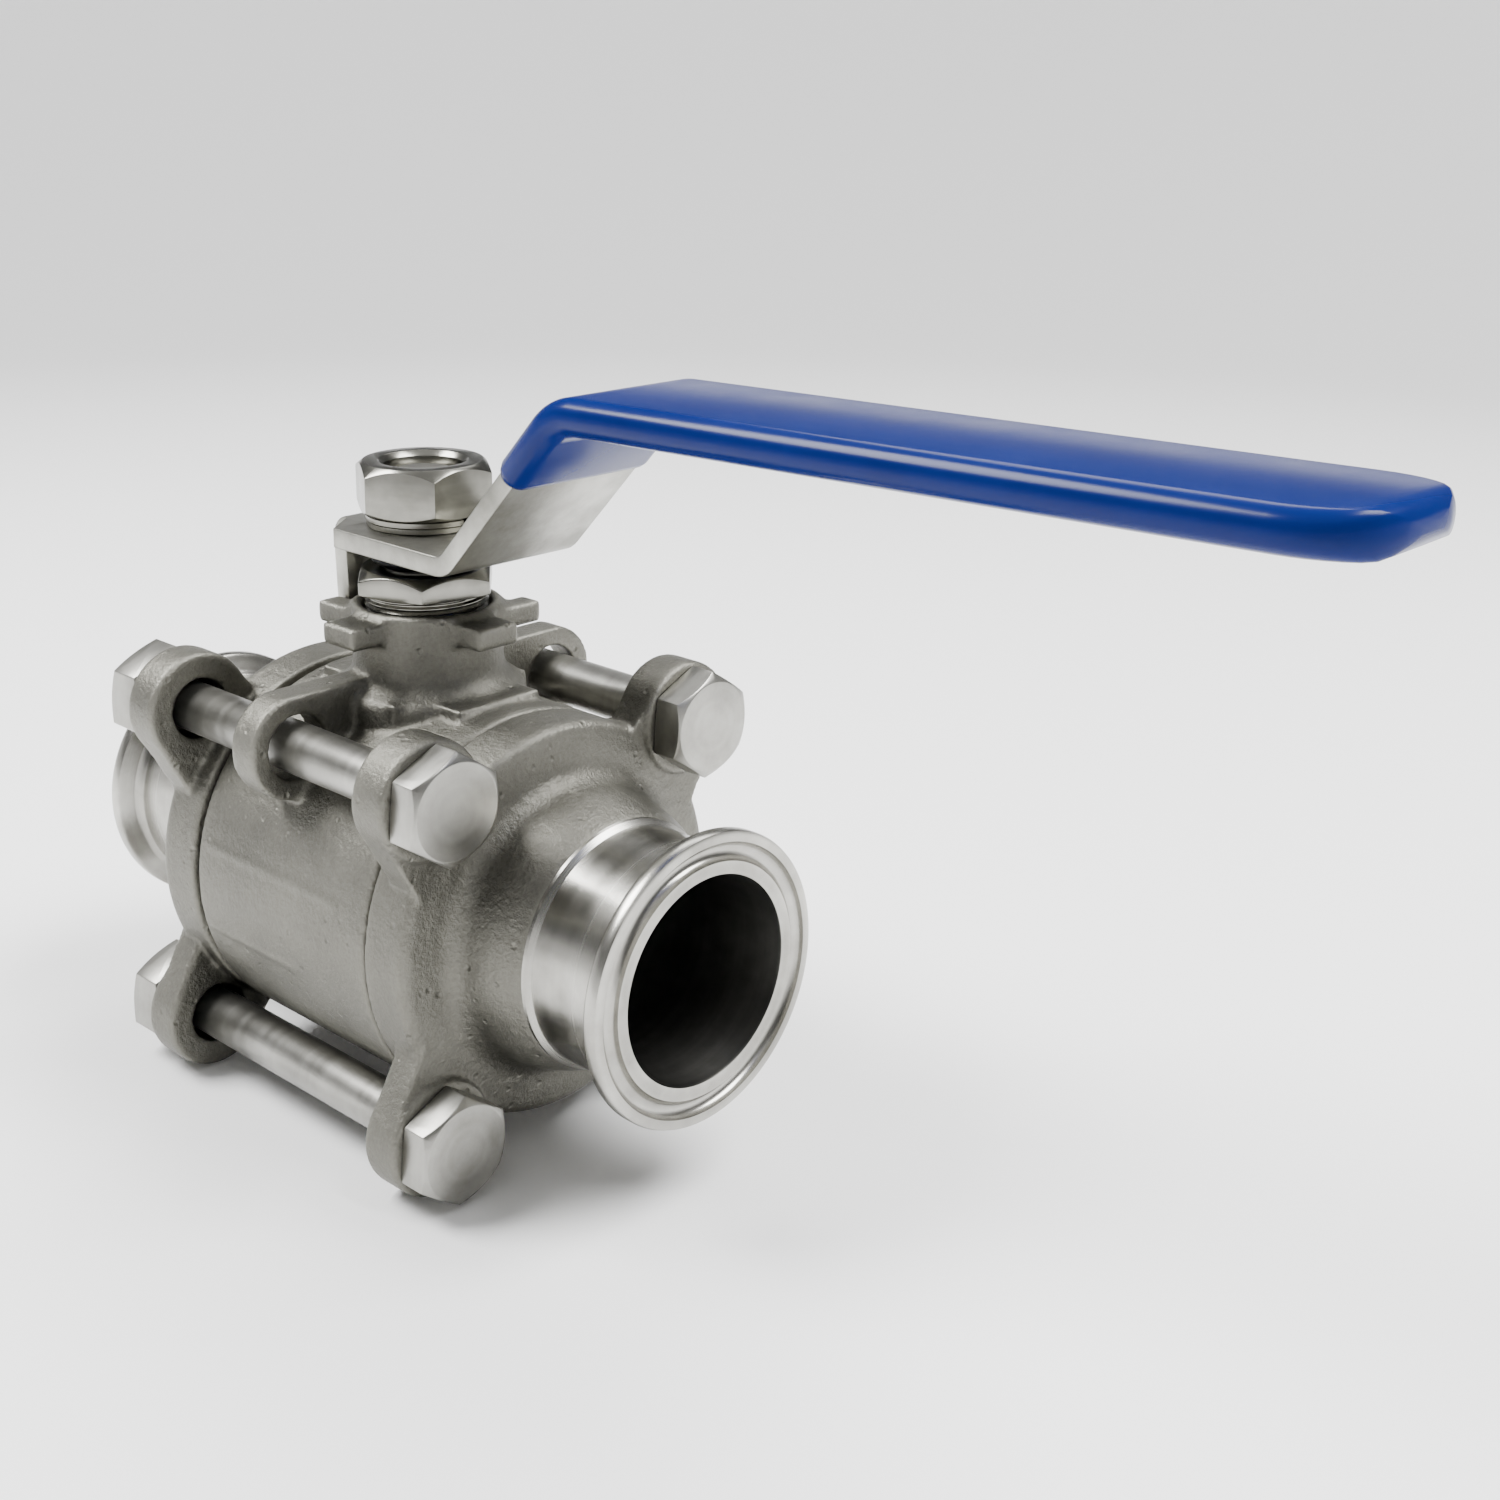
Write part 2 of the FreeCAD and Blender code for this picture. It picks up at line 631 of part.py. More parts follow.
# The lever: a bent strip with a double-D hole, a stop tab at its tail and tapered corners.
slope = tangent(size.lever_angle)
half_bend = tangent(size.lever_angle / 2)
upper_low = lever_low + size.lever_rise
tip_low = upper_low + size.lever_tip_rise
half_plate = size.lever_wide / 2
tab_inner = size.bonnet_round + size.tab_gap
tab_outer = tab_inner + size.lever_thick


def upper_corners(wall):
    """The upper bend's inner and outer corners, on a strip that some wall covers on both sides."""
    along = size.lever_bend + size.lever_rise / slope
    covered = size.lever_thick + wall
    return ((along + wall * half_bend, upper_low - wall),
            (along - covered * half_bend, upper_low + covered))


def tip_trim(body, reach, half_width, taper, rounding):
    """Tapers the two corners at the tip and rounds them."""
    trim = new_sketch(body, "XY")
    for y_sign in SIDES:
        draw_outline(trim, mirrored([
            (reach - taper, half_width), (reach, half_width - taper), (reach + taper, half_width - taper),
            (reach + taper, half_width + taper), (reach - taper, half_width + taper)], 1, y_sign))
    push(body, "Pocket", trim, tip_low + size.lever_rise, reverse=True)
    round_off(body, rounding, lambda edge: edge.BoundBox.XLength < 0.5 and edge.BoundBox.YLength < 1e-3
              and edge.BoundBox.ZLength > 1 and edge.BoundBox.XMax > (reach - taper).value - 1)


def draw_double_d(sketch, radius, half_flat):
    """A round hole with two flats along the sketch's first axis."""
    reach = math.sqrt(radius.value ** 2 - half_flat.value ** 2)
    corner = math.atan2(half_flat.value, reach)
    circle = Part.Circle(FreeCAD.Vector(), FreeCAD.Vector(0, 0, 1), radius.value)
    high = half_flat.value
    shapes = [
        Part.ArcOfCircle(circle, -corner, corner),
        Part.LineSegment(FreeCAD.Vector(reach, high, 0), FreeCAD.Vector(-reach, high, 0)),
        Part.ArcOfCircle(circle, math.pi - corner, math.pi + corner),
        Part.LineSegment(FreeCAD.Vector(-reach, -high, 0), FreeCAD.Vector(reach, -high, 0))]
    for shape in shapes:
        sketch.addGeometry(shape, False)
    for index in range(4):
        sketch.addConstraint(Sketcher.Constraint("Coincident", index, 2, (index + 1) % 4, 1))
    for arc in (0, 2):
        sketch.addConstraint(Sketcher.Constraint("Coincident", arc, 3, -1, 1))
        bind(sketch, Sketcher.Constraint("Radius", arc, radius.value), radius)
    for line, height in ((1, half_flat), (3, -half_flat)):
        sketch.addConstraint(Sketcher.Constraint("Horizontal", line))
        bind(sketch, Sketcher.Constraint("DistanceY", -1, 1, line, 1, height.value), height)


body = new_body("lever")
upper_inside, upper_outside = upper_corners(zero)
tab_bottom = lever_low - size.tab_long
tab_bend_inside = (-tab_inner, lever_low)
tab_bend_outside = (-tab_outer, lever_high)
rise_outside = (size.lever_bend, lever_low)
rise_inside = (size.lever_bend - size.lever_thick * half_bend, lever_high)
side = new_sketch(body, "XZ")
draw_outline(side, [
    tab_bend_outside, (-tab_outer, tab_bottom), (-tab_inner, tab_bottom), tab_bend_inside, rise_outside,
    upper_inside, (size.lever_reach, tip_low), (size.lever_reach, tip_low + size.lever_thick),
    upper_outside, rise_inside])
push(body, "Pad", side, size.lever_wide, both_ways=True)
for spot in (tab_bend_inside, rise_inside):
    round_across(body, size.bend_inside, spot)
for spot in (tab_bend_outside, rise_outside):
    round_across(body, size.bend_inside + size.lever_thick, spot)
round_across(body, size.top_bend_inside, upper_inside)
round_across(body, size.top_bend_inside + size.lever_thick, upper_outside)
tail = new_sketch(body, "XY")
half_tab = size.tab_wide / 2
beyond = tab_outer + size.lever_thick
for y_sign in SIDES:
    draw_outline(tail, mirrored([
        (-size.tail_straight, half_plate), (-tab_inner, half_tab), (-beyond, half_tab),
        (-beyond, half_plate + size.root), (-size.tail_straight, half_plate + size.root)], 1, y_sign))
push(body, "Pocket", tail, tip_low, reverse=True)
tip_trim(body, size.lever_reach, half_plate, size.tip_taper, size.tip_round)
hole = new_sketch(body, "XY", lever_low)
draw_double_d(hole, stem + size.slip, size.flats_across / 2 + size.slip)
push(body, "Pocket", hole, size.lever_thick, reverse=True)
place(body)
lever = body

# The vinyl sleeve is dipped over the plate from halfway up its slope to the tip.
grip_body = doc.addObject("PartDesign::Body", "grip_outside")
wall = size.grip_wall
covered = size.lever_thick + wall
grip_thick = covered + wall
start_up = lever_low + (size.grip_start - size.lever_bend) * slope
across = sine(size.lever_angle)
upward = cosine(size.lever_angle)
grip_inside, grip_outside = upper_corners(wall)
grip_reach = size.lever_reach + wall
half_grip = half_plate + wall
side = new_sketch(grip_body, "XZ")
draw_outline(side, [
    (size.grip_start + wall * across, start_up - wall * upward), grip_inside, (grip_reach, tip_low - wall),
    (grip_reach, tip_low + covered), grip_outside,
    (size.grip_start - covered * across, start_up + covered * upward)])
push(grip_body, "Pad", side, half_grip * 2, both_ways=True)
round_across(grip_body, size.top_bend_inside - wall, grip_inside)
round_across(grip_body, size.top_bend_inside + covered, grip_outside)
tip_trim(grip_body, grip_reach, half_grip, size.tip_taper + wall / 2, size.tip_round + wall)


def sleeve_rim(edge):
    """The edges along both sides of the sleeve and round its tip, but not its open end."""
    middle = edge.CenterOfMass
    upright = abs(edge.Length - grip_thick.value) < 0.1
    on_side = edge.BoundBox.YLength < 1e-3 and near(abs(middle.y), half_grip)
    at_tip = middle.x > (grip_reach - size.tip_taper).value - wall.value
    return not upright and (on_side or at_tip)


round_off(grip_body, size.grip_edge, sleeve_rim)
subparts.append(boolean("Cut", "lever_grip", grip_body, lever))

# A split spring washer and a nut hold the lever down.
body = ring("lock_washer", stem + size.slip, size.washer_dia / 2, lever_high, size.washer_thick)
split = new_sketch(body, "XY", lever_high)
draw_outline(split, [(stem * 0.5, zero), (size.washer_dia, zero), (size.washer_dia, size.washer_split),
                     (stem * 0.5, size.washer_split)])
push(body, "Pocket", split, size.washer_thick, reverse=True)

body = new_body("stem_nut")
nut_sketch = new_sketch(body, "XY", nut_low)
draw_outline(nut_sketch, hexagon(size.nut_across, NUT_TURN))
draw_circle(nut_sketch, zero, zero, stem + size.slip / 2)
push(body, "Pad", nut_sketch, size.nut_thick)
break_corners(body, size.nut_across, nut_top, -1, 0.16)
break_corners(body, size.nut_across, nut_low, 1)
turn(body, "Groove", [(stem, nut_top), (stem + size.root, nut_top), (stem, nut_top - size.root)], "V_Axis")
place(body)


# Four bolts clamp the caps on the body. Each is made along Z, then laid along the flow axis.
def lay_down(body, along, y_sign, z_sign):
    place(body, along, signed(bolt_side, y_sign), signed(bolt_up, z_sign), (0, 1, 0), 90)


def bolt(label, y_sign, z_sign):
    body = new_body(label)
    shank = size.bolt_dia / 2
    tail = -(ear_front * 2 + size.bolt_nut + size.bolt_tail)
    turn(body, "Revolution", [
        (zero, tail), (shank - size.bolt_end, tail), (shank, tail + size.bolt_end), (shank, size.root),
        (zero, size.root)], "V_Axis")
    head = new_sketch(body, "XY")
    draw_outline(head, hexagon(size.bolt_across, BOLT_TURN))
    push(body, "Pad", head, size.bolt_head)
    break_corners(body, size.bolt_across, size.bolt_head, -1, 0.2)
    lay_down(body, ear_front, y_sign, z_sign)


def bolt_nut(label, y_sign, z_sign):
    body = new_body(label)
    blank = new_sketch(body, "XY")
    draw_outline(blank, hexagon(size.bolt_across, BOLT_TURN))
    draw_circle(blank, zero, zero, size.bolt_dia / 2 + size.slip / 4)
    push(body, "Pad", blank, size.bolt_nut)
    break_corners(body, size.bolt_across, zero, 1, 0.2)
    lay_down(body, -(ear_front + size.bolt_nut), y_sign, z_sign)


for name, y_sign, z_sign in CORNERS:
    bolt("bolt_" + name, y_sign, z_sign)
    bolt_nut("bolt_nut_" + name, y_sign, z_sign)

doc.recompute()

# Nothing is written unless every object and every solid is sound.
for item in doc.Objects:
    if "Invalid" in item.State or "Error" in item.State:
        raise ValueError("%s failed: %s" % (item.Label, item.State))
for item in subparts:
    shape = item.Shape
    if shape.isNull() or not shape.isValid() or len(shape.Solids) != 1:
        raise ValueError("%s is not one sound solid" % item.Label)

os.makedirs("parts", exist_ok=True)
for item in subparts:
    item.Shape.exportStep(os.path.join("parts", item.Label + ".step"))
    print("%-20s %10.1f mm3" % (item.Label, item.Shape.Volume))
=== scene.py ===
import math

import bpy
from mathutils import Matrix, Vector


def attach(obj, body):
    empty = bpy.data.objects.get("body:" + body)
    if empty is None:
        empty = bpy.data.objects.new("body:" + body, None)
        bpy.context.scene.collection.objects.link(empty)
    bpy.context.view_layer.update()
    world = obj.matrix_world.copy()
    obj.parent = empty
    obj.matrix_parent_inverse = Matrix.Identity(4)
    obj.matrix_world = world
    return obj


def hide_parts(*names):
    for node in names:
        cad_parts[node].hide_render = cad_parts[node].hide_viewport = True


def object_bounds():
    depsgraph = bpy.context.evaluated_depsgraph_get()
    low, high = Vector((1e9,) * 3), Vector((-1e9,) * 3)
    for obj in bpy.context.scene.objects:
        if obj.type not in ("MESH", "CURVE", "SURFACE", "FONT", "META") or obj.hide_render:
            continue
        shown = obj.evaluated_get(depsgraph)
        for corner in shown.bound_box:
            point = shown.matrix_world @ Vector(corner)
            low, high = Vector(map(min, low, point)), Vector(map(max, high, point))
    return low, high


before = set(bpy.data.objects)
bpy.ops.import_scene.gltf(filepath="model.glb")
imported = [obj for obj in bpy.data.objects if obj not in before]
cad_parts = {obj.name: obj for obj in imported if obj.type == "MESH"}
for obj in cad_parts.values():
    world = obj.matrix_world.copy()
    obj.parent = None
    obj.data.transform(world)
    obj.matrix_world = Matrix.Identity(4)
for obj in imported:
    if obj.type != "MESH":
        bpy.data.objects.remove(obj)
cad_low, cad_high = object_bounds()
mm = 0.001

# -----------------------------------------------------------------------------
# Studio: a pale dish of painted board with a rounded foot, open at the top. The valve stands in
# it on its two lower pairs of ears. One large soft box and two smaller ones light it from above.
floor_gap = 0.2
floor_height = cad_low[2] / mm - floor_gap
dish_foot = 900
dish_round = 500
dish_wall = 900
dish_top = floor_height + dish_round + dish_wall
board_low = (0.95, 0.95, 0.95)
board_high = (0.12, 0.12, 0.12)
fade_start = 0.18
fade_end = 0.28


def deselect():
    """Leaves edit mode, with nothing selected."""
    if bpy.context.object and bpy.context.object.mode != "OBJECT":
        bpy.ops.object.mode_set(mode="OBJECT")
    bpy.ops.object.select_all(action="DESELECT")


def work_on(piece):
    """Makes one piece the only one that is selected, outside edit mode."""
    deselect()
    piece.select_set(True)
    bpy.context.view_layer.objects.active = piece


def turned(name, stations, sides):
    """A turned piece about Z: a circle pulled from station to station, each (height, radius) in
    mm. A piece that ends where it starts is a ring. Any other is solid, with flat ends."""
    deselect()
    height, radius = stations[0]
    ring = stations[0] == stations[-1]
    bpy.ops.mesh.primitive_circle_add(
        vertices=sides, radius=radius * mm, location=(0, 0, height * mm),
        fill_type="NOTHING" if ring else "NGON")
    piece = bpy.context.object
    piece.name = name
    bpy.ops.object.transform_apply(location=True)
    bpy.ops.object.mode_set(mode="EDIT")
    bpy.ops.mesh.select_all(action="SELECT")
    for next_height, next_radius in stations[1:]:
        bpy.ops.mesh.extrude_region_move(
            TRANSFORM_OT_translate={"value": (0, 0, (next_height - height) * mm)})
        if next_radius != radius:
            grow = next_radius / radius
            bpy.ops.transform.resize(value=(grow, grow, 1),
                                     center_override=(0, 0, next_height * mm))
        height, radius = next_height, next_radius
    close_up()
    bpy.ops.object.mode_set(mode="OBJECT")
    return piece


def close_up():
    """Merges doubles and turns every face outwards, in edit mode."""
    bpy.ops.mesh.select_all(action="SELECT")
    bpy.ops.mesh.remove_doubles(threshold=0.002 * mm)
    bpy.ops.mesh.normals_make_consistent(inside=False)


def arc(centre, radius, start, end, steps):
    """Points round an arc, each (along, up), from one angle in degrees to another."""
    turns = [math.radians(start + (end - start) * n / steps) for n in range(steps + 1)]
    return [(centre[0] + radius * math.cos(a), centre[1] + radius * math.sin(a)) for a in turns]


def smooth(piece, angle=32):
    """Shades a piece smooth, apart from edges sharper than an angle in degrees."""
    work_on(piece)
    bpy.ops.object.shade_smooth_by_angle(angle=math.radians(angle))


def painted(piece, material):
    """Gives a piece one material and no other."""
    piece.data.materials.clear()
    piece.data.materials.append(material)


def node(tree, kind, spot, **settings):
    """A shader node, at a column and row of the tree."""
    made = tree.nodes.new("ShaderNode" + kind)
    made.location = (spot[0] * 180, spot[1] * 160)
    for name, value in settings.items():
        setattr(made, name, value)
    return made


def new_material(name, colour, metallic, roughness):
    """A material and its shader, with the values that are the same all over."""
    material = bpy.data.materials.new(name)
    material.use_nodes = True
    shader = material.node_tree.nodes["Principled BSDF"]
    shader.inputs["Base Color"].default_value = (*colour, 1)
    shader.inputs["Metallic"].default_value = metallic
    shader.inputs["Roughness"].default_value = roughness
    return material, material.node_tree, shader


def select_faces(piece, wanted):
    """Selects the faces that a test picks, and leaves the piece in edit mode."""
    work_on(piece)
    bpy.ops.object.mode_set(mode="EDIT")
    bpy.ops.mesh.select_all(action="DESELECT")
    bpy.ops.object.mode_set(mode="OBJECT")
    for face in piece.data.polygons:
        face.select = wanted(face)
    bpy.ops.object.mode_set(mode="EDIT")


def blend_colours(tree, spot, amount, dark, light):
    """A colour between two, by a mask."""
    made = node(tree, "Mix", spot, data_type="RGBA")
    tree.links.new(amount, made.inputs["Factor"])
    colours = [socket for socket in made.inputs if socket.type == "RGBA"]
    colours[0].default_value = (*dark, 1)
    colours[1].default_value = (*light, 1)
    return [socket for socket in made.outputs if socket.type == "RGBA"][0]


board_paint, tree, shader = new_material("board_paint", board_low, 0, 0.7)
board_place = node(tree, "TexCoord", (-5, 0))
board_noise = node(tree, "TexNoise", (-3, 0))
board_noise.inputs["Scale"].default_value = 60
board_bump = node(tree, "Bump", (-1, -1))
board_bump.inputs["Strength"].default_value = 0.02
tree.links.new(board_place.outputs["Object"], board_noise.inputs["Vector"])
tree.links.new(board_noise.outputs["Fac"], board_bump.inputs["Height"])
tree.links.new(board_bump.outputs["Normal"], shader.inputs["Normal"])
# The wall turns grey above the valve, which gives the bare steel something dark to mirror.
board_height = node(tree, "SeparateXYZ", (-4, 2))
board_fade = node(tree, "MapRange", (-3, 2), interpolation_type="SMOOTHSTEP")
board_fade.inputs["From Min"].default_value = fade_start
board_fade.inputs["From Max"].default_value = fade_end
tree.links.new(board_place.outputs["Object"], board_height.inputs["Vector"])
tree.links.new(board_height.outputs["Z"], board_fade.inputs["Value"])
tree.links.new(blend_colours(tree, (-2, 2), board_fade.outputs["Result"], board_low, board_high),
               shader.inputs["Base Color"])

wall_foot = arc((floor_height + dish_round, dish_foot), dish_round, 180, 90, 12)
studio_dish = turned("studio_dish", [(floor_height, dish_foot)] + wall_foot[1:]
                     + [(dish_top, dish_foot + dish_round)], 96)
# The dish is open at its top, and its faces look inwards.
select_faces(studio_dish, lambda face: len(face.vertices) > 4
             and abs(face.center.z - dish_top * mm) < mm)
bpy.ops.mesh.delete(type="ONLY_FACE")
bpy.ops.mesh.select_all(action="SELECT")
bpy.ops.mesh.flip_normals()
bpy.ops.object.mode_set(mode="OBJECT")
smooth(studio_dish, 60)
painted(studio_dish, board_paint)

middle = Vector((40, 0, 20)) * mm


def soft_box(name, spot, wide, tall, power):
    """An area light at a spot in mm, turned to face the valve."""
    light = bpy.data.lights.new(name, "AREA")
    light.shape = "RECTANGLE"
    light.size = wide * mm
    light.size_y = tall * mm
    light.energy = power
    lamp = bpy.data.objects.new(name, light)
    lamp.location = Vector(spot) * mm
    lamp.rotation_euler = (middle - lamp.location).to_track_quat("-Z", "Y").to_euler()
    bpy.context.scene.collection.objects.link(lamp)


soft_box("key_box", (440, 300, 780), 560, 420, 19)
soft_box("side_box", (-420, -340, 700), 420, 360, 16)
soft_box("back_box", (-340, 560, 760), 500, 300, 3)

world = bpy.data.worlds.new("open_sky")
world.use_nodes = True
world.node_tree.nodes["Background"].inputs["Color"].default_value = (1, 1, 1, 1)
world.node_tree.nodes["Background"].inputs["Strength"].default_value = 0.75
bpy.context.scene.world = world

# Camera: off the front end and the near side, and a little above the valve.
camera_turn = math.radians(42.47)
camera_rise = math.radians(15.54)
camera_roll = math.radians(0.82)
camera_spot = (278.1, -218.7, 148.3)
camera = bpy.data.cameras.new("camera")
camera.sensor_width = 36
camera.lens = 48.888
camera.shift_y = -0.1
camera.clip_start = 0.01
camera_object = bpy.data.objects.new("camera", camera)
camera_back = Vector((math.sin(camera_turn) * math.cos(camera_rise),
                      -math.cos(camera_turn) * math.cos(camera_rise), math.sin(camera_rise)))
camera_right = Vector((0, 0, 1)).cross(camera_back).normalized()
camera_up = camera_back.cross(camera_right)
stand = (Matrix((camera_right, camera_up, camera_back)).transposed()
         @ Matrix.Rotation(camera_roll, 3, "Z"))
camera_object.matrix_world = Matrix.Translation(Vector(camera_spot) * mm) @ stand.to_4x4()
bpy.context.scene.collection.objects.link(camera_object)
bpy.context.scene.camera = camera_object

# -----------------------------------------------------------------------------
# End caps: stainless investment castings, bead-blasted. A thick disc with four ears for the bolts
# runs through a deep hollow into a short tapered hub. Both ends are the same casting.
barrel = 35.2
joint = 25.1
spigot = 31.9
spigot_back = 22.7
disc_front = 35.4
disc_round = 1.8
hub = 25
hub_fillet = 4.4
neck = 21
neck_start = 50.5
ferrule_bed = neck - 1.2
bolt_side = 29
bolt_up = 30
ear_round = 10.3
ear_back = 28.8
ear_front = 36.8
ear_root = barrel * 0.93
ear_edge = 0.5
bolt_hole = 5.6
cap_grain = 0.5


def settle(piece, rotation=(0, 0, 0), move=(0, 0, 0)):
    """Turns and moves a piece, and puts its place into its mesh."""
    work_on(piece)
    piece.rotation_euler = [math.radians(angle) for angle in rotation]
    piece.location = Vector(move) * mm
    bpy.ops.object.transform_apply(location=True, rotation=True, scale=True)


def finish_with(piece, kind, **settings):
    """Adds a modifier to a piece and applies it."""
    work_on(piece)
    modifier = piece.modifiers.new(kind.lower(), kind)
    for name, value in settings.items():
        setattr(modifier, name, value)
    bpy.ops.object.modifier_apply(modifier=modifier.name)


def combine(piece, tool, operation="DIFFERENCE"):
    """Joins a tool to a piece, cuts it away or keeps what both share. The tool is used up."""
    finish_with(piece, "BOOLEAN", object=tool, operation=operation, solver="EXACT")
    bpy.data.objects.remove(tool)


def plate(name, outline, low, high):
    """A flat plate in XY: a filled ring of corners set on the outline and pulled up, in mm."""
    deselect()
    bpy.ops.mesh.primitive_circle_add(vertices=len(outline), radius=mm, fill_type="NGON")
    piece = bpy.context.object
    piece.name = name
    for corner, (along, side) in zip(piece.data.vertices, outline):
        corner.co = (along * mm, side * mm, low * mm)
    bpy.ops.object.mode_set(mode="EDIT")
    bpy.ops.mesh.select_all(action="SELECT")
    bpy.ops.mesh.extrude_region_move(TRANSFORM_OT_translate={"value": (0, 0, (high - low) * mm)})
    close_up()
    bpy.ops.object.mode_set(mode="OBJECT")
    return piece


def twin(piece, name):
    """A copy with a mesh of its own."""
    copy = piece.copy()
    copy.data = piece.data.copy()
    copy.name = name
    bpy.context.scene.collection.objects.link(copy)
    return copy


def cast_skin(piece, size, passes):
    """Gives a blank the soft edges and hollows of a casting: one even skin, smoothed."""
    finish_with(piece, "REMESH", mode="VOXEL", voxel_size=size * mm)
    finish_with(piece, "SMOOTH", factor=0.5, iterations=passes)
    work_on(piece)
    bpy.ops.object.shade_smooth()


def new_group(name, inputs, outputs):
    """A node group with named sockets. inputs are (name, kind, value)."""
    group = bpy.data.node_groups.new(name, "ShaderNodeTree")
    for label, kind, value in inputs:
        socket = group.interface.new_socket(name=label, in_out="INPUT",
                                            socket_type="NodeSocket" + kind)
        if value is not None:
            socket.default_value = value
    for label, kind in outputs:
        group.interface.new_socket(name=label, in_out="OUTPUT", socket_type="NodeSocket" + kind)
    entry = group.nodes.new("NodeGroupInput")
    entry.location = (-1600, 0)
    leave = group.nodes.new("NodeGroupOutput")
    leave.location = (600, 0)
    return group, entry, leave


def math_node(tree, operation, spot, first, second):
    """A sum of two numbers or outputs, and its own output."""
    made = node(tree, "Math", spot, operation=operation)
    for socket, item in zip(made.inputs, (first, second)):
        if isinstance(item, (int, float)):
            socket.default_value = item
        else:
            tree.links.new(item, socket)
    return made.outputs[0]


# Blasted grain: a fine even roughness with scattered small pits, for castings and rough plate.
blasted_grain, entry, leave = new_group(
    "blasted_grain",
    [("Place", "Vector", None), ("Grains", "Float", 1500.0), ("Pits", "Float", 0.5)],
    [("Height", "Float"), ("Fleck", "Float")])
fine = node(blasted_grain, "TexNoise", (-5, 1))
fine.inputs["Detail"].default_value = 4
fine.inputs["Roughness"].default_value = 0.7
coarse = node(blasted_grain, "TexNoise", (-5, -1))
coarse.inputs["Detail"].default_value = 2
pits = node(blasted_grain, "TexVoronoi", (-5, -3))
for texture in (fine, coarse, pits):
    blasted_grain.links.new(entry.outputs["Place"], texture.inputs["Vector"])
blasted_grain.links.new(entry.outputs["Grains"], fine.inputs["Scale"])
for texture, share, row in ((coarse, 0.3, -1), (pits, 0.18, -3)):
    scale = math_node(blasted_grain, "MULTIPLY", (-7, row), entry.outputs["Grains"], share)
    blasted_grain.links.new(scale, texture.inputs["Scale"])
pit_edge = node(blasted_grain, "MapRange", (-3, -3))
pit_edge.inputs["From Min"].default_value = 0.04
pit_edge.inputs["From Max"].default_value = 0.16
blasted_grain.links.new(pits.outputs["Distance"], pit_edge.inputs["Value"])
pit_depth = math_node(blasted_grain, "MULTIPLY", (-2, -3), pit_edge.outputs["Result"],
                      entry.outputs["Pits"])
both = math_node(blasted_grain, "ADD", (-2, 0), fine.outputs["Fac"], coarse.outputs["Fac"])
height = math_node(blasted_grain, "ADD", (-1, -1), both, pit_depth)
blasted_grain.links.new(height, leave.inputs["Height"])
blasted_grain.links.new(fine.outputs["Fac"], leave.inputs["Fleck"])

# Cloudy tone: slow patches, as handling and cleaning leave on bare steel.
cloudy_tone, entry, leave = new_group(
    "cloudy_tone",
    [("Place", "Vector", None), ("Patches", "Float", 60.0), ("Low", "Float", 0.9),
     ("High", "Float", 1.0)],
    [("Tone", "Float")])
patches = node(cloudy_tone, "TexNoise", (-4, 0))
patches.inputs["Detail"].default_value = 5
patches.inputs["Roughness"].default_value = 0.6
spread = node(cloudy_tone, "MapRange", (-2, 0))
spread.inputs["From Min"].default_value = 0.35
spread.inputs["From Max"].default_value = 0.65
cloudy_tone.links.new(entry.outputs["Place"], patches.inputs["Vector"])
cloudy_tone.links.new(entry.outputs["Patches"], patches.inputs["Scale"])
cloudy_tone.links.new(patches.outputs["Fac"], spread.inputs["Value"])
cloudy_tone.links.new(entry.outputs["Low"], spread.inputs["To Min"])
cloudy_tone.links.new(entry.outputs["High"], spread.inputs["To Max"])
cloudy_tone.links.new(spread.outputs["Result"], leave.inputs["Tone"])

# Edge wear and painted shade: lighter where a surface turns sharply outwards, as wear, and darker
# in its hollows, where the darkening is painted shade.
edge_wear_and_hollow_shade, entry, leave = new_group(
    "edge_wear_and_hollow_shade", [("Hollow", "Float", 0.46), ("Edge", "Float", 0.56)], [("Rise", "Float")])
turning = node(edge_wear_and_hollow_shade, "NewGeometry", (-5, 0))
level = node(edge_wear_and_hollow_shade, "MapRange", (-3, 0))
edge_wear_and_hollow_shade.links.new(turning.outputs["Pointiness"], level.inputs["Value"])
edge_wear_and_hollow_shade.links.new(entry.outputs["Hollow"], level.inputs["From Min"])
edge_wear_and_hollow_shade.links.new(entry.outputs["Edge"], level.inputs["From Max"])
edge_wear_and_hollow_shade.links.new(level.outputs["Result"], leave.inputs["Rise"])


def use(tree, group, spot, **values):
    """Places a node group in a material, with values of its own."""
    made = node(tree, "Group", spot, node_tree=group)
    for name, value in values.items():
        made.inputs[name].default_value = value
    return made


def lay_on_piece(tree, *patterns):
    """Lays patterns on the piece's own place."""
    place = node(tree, "TexCoord", (-8, 0)).outputs["Object"]
    for pattern in patterns:
        tree.links.new(place, pattern.inputs["Place"])


def roughness_between(tree, spot, amount, low, high):
    """A roughness between two, by a mask."""
    made = node(tree, "MapRange", spot)
    made.inputs["To Min"].default_value = low
    made.inputs["To Max"].default_value = high
    tree.links.new(amount, made.inputs["Value"])
    return made.outputs["Result"]


def raise_grain(tree, shader, height, depth):
    """Feeds a height into the shader's normal. depth is in mm."""
    bump = node(tree, "Bump", (-1, -3))
    bump.inputs["Distance"].default_value = depth * mm
    tree.links.new(height, bump.inputs["Height"])
    tree.links.new(bump.outputs["Normal"], shader.inputs["Normal"])


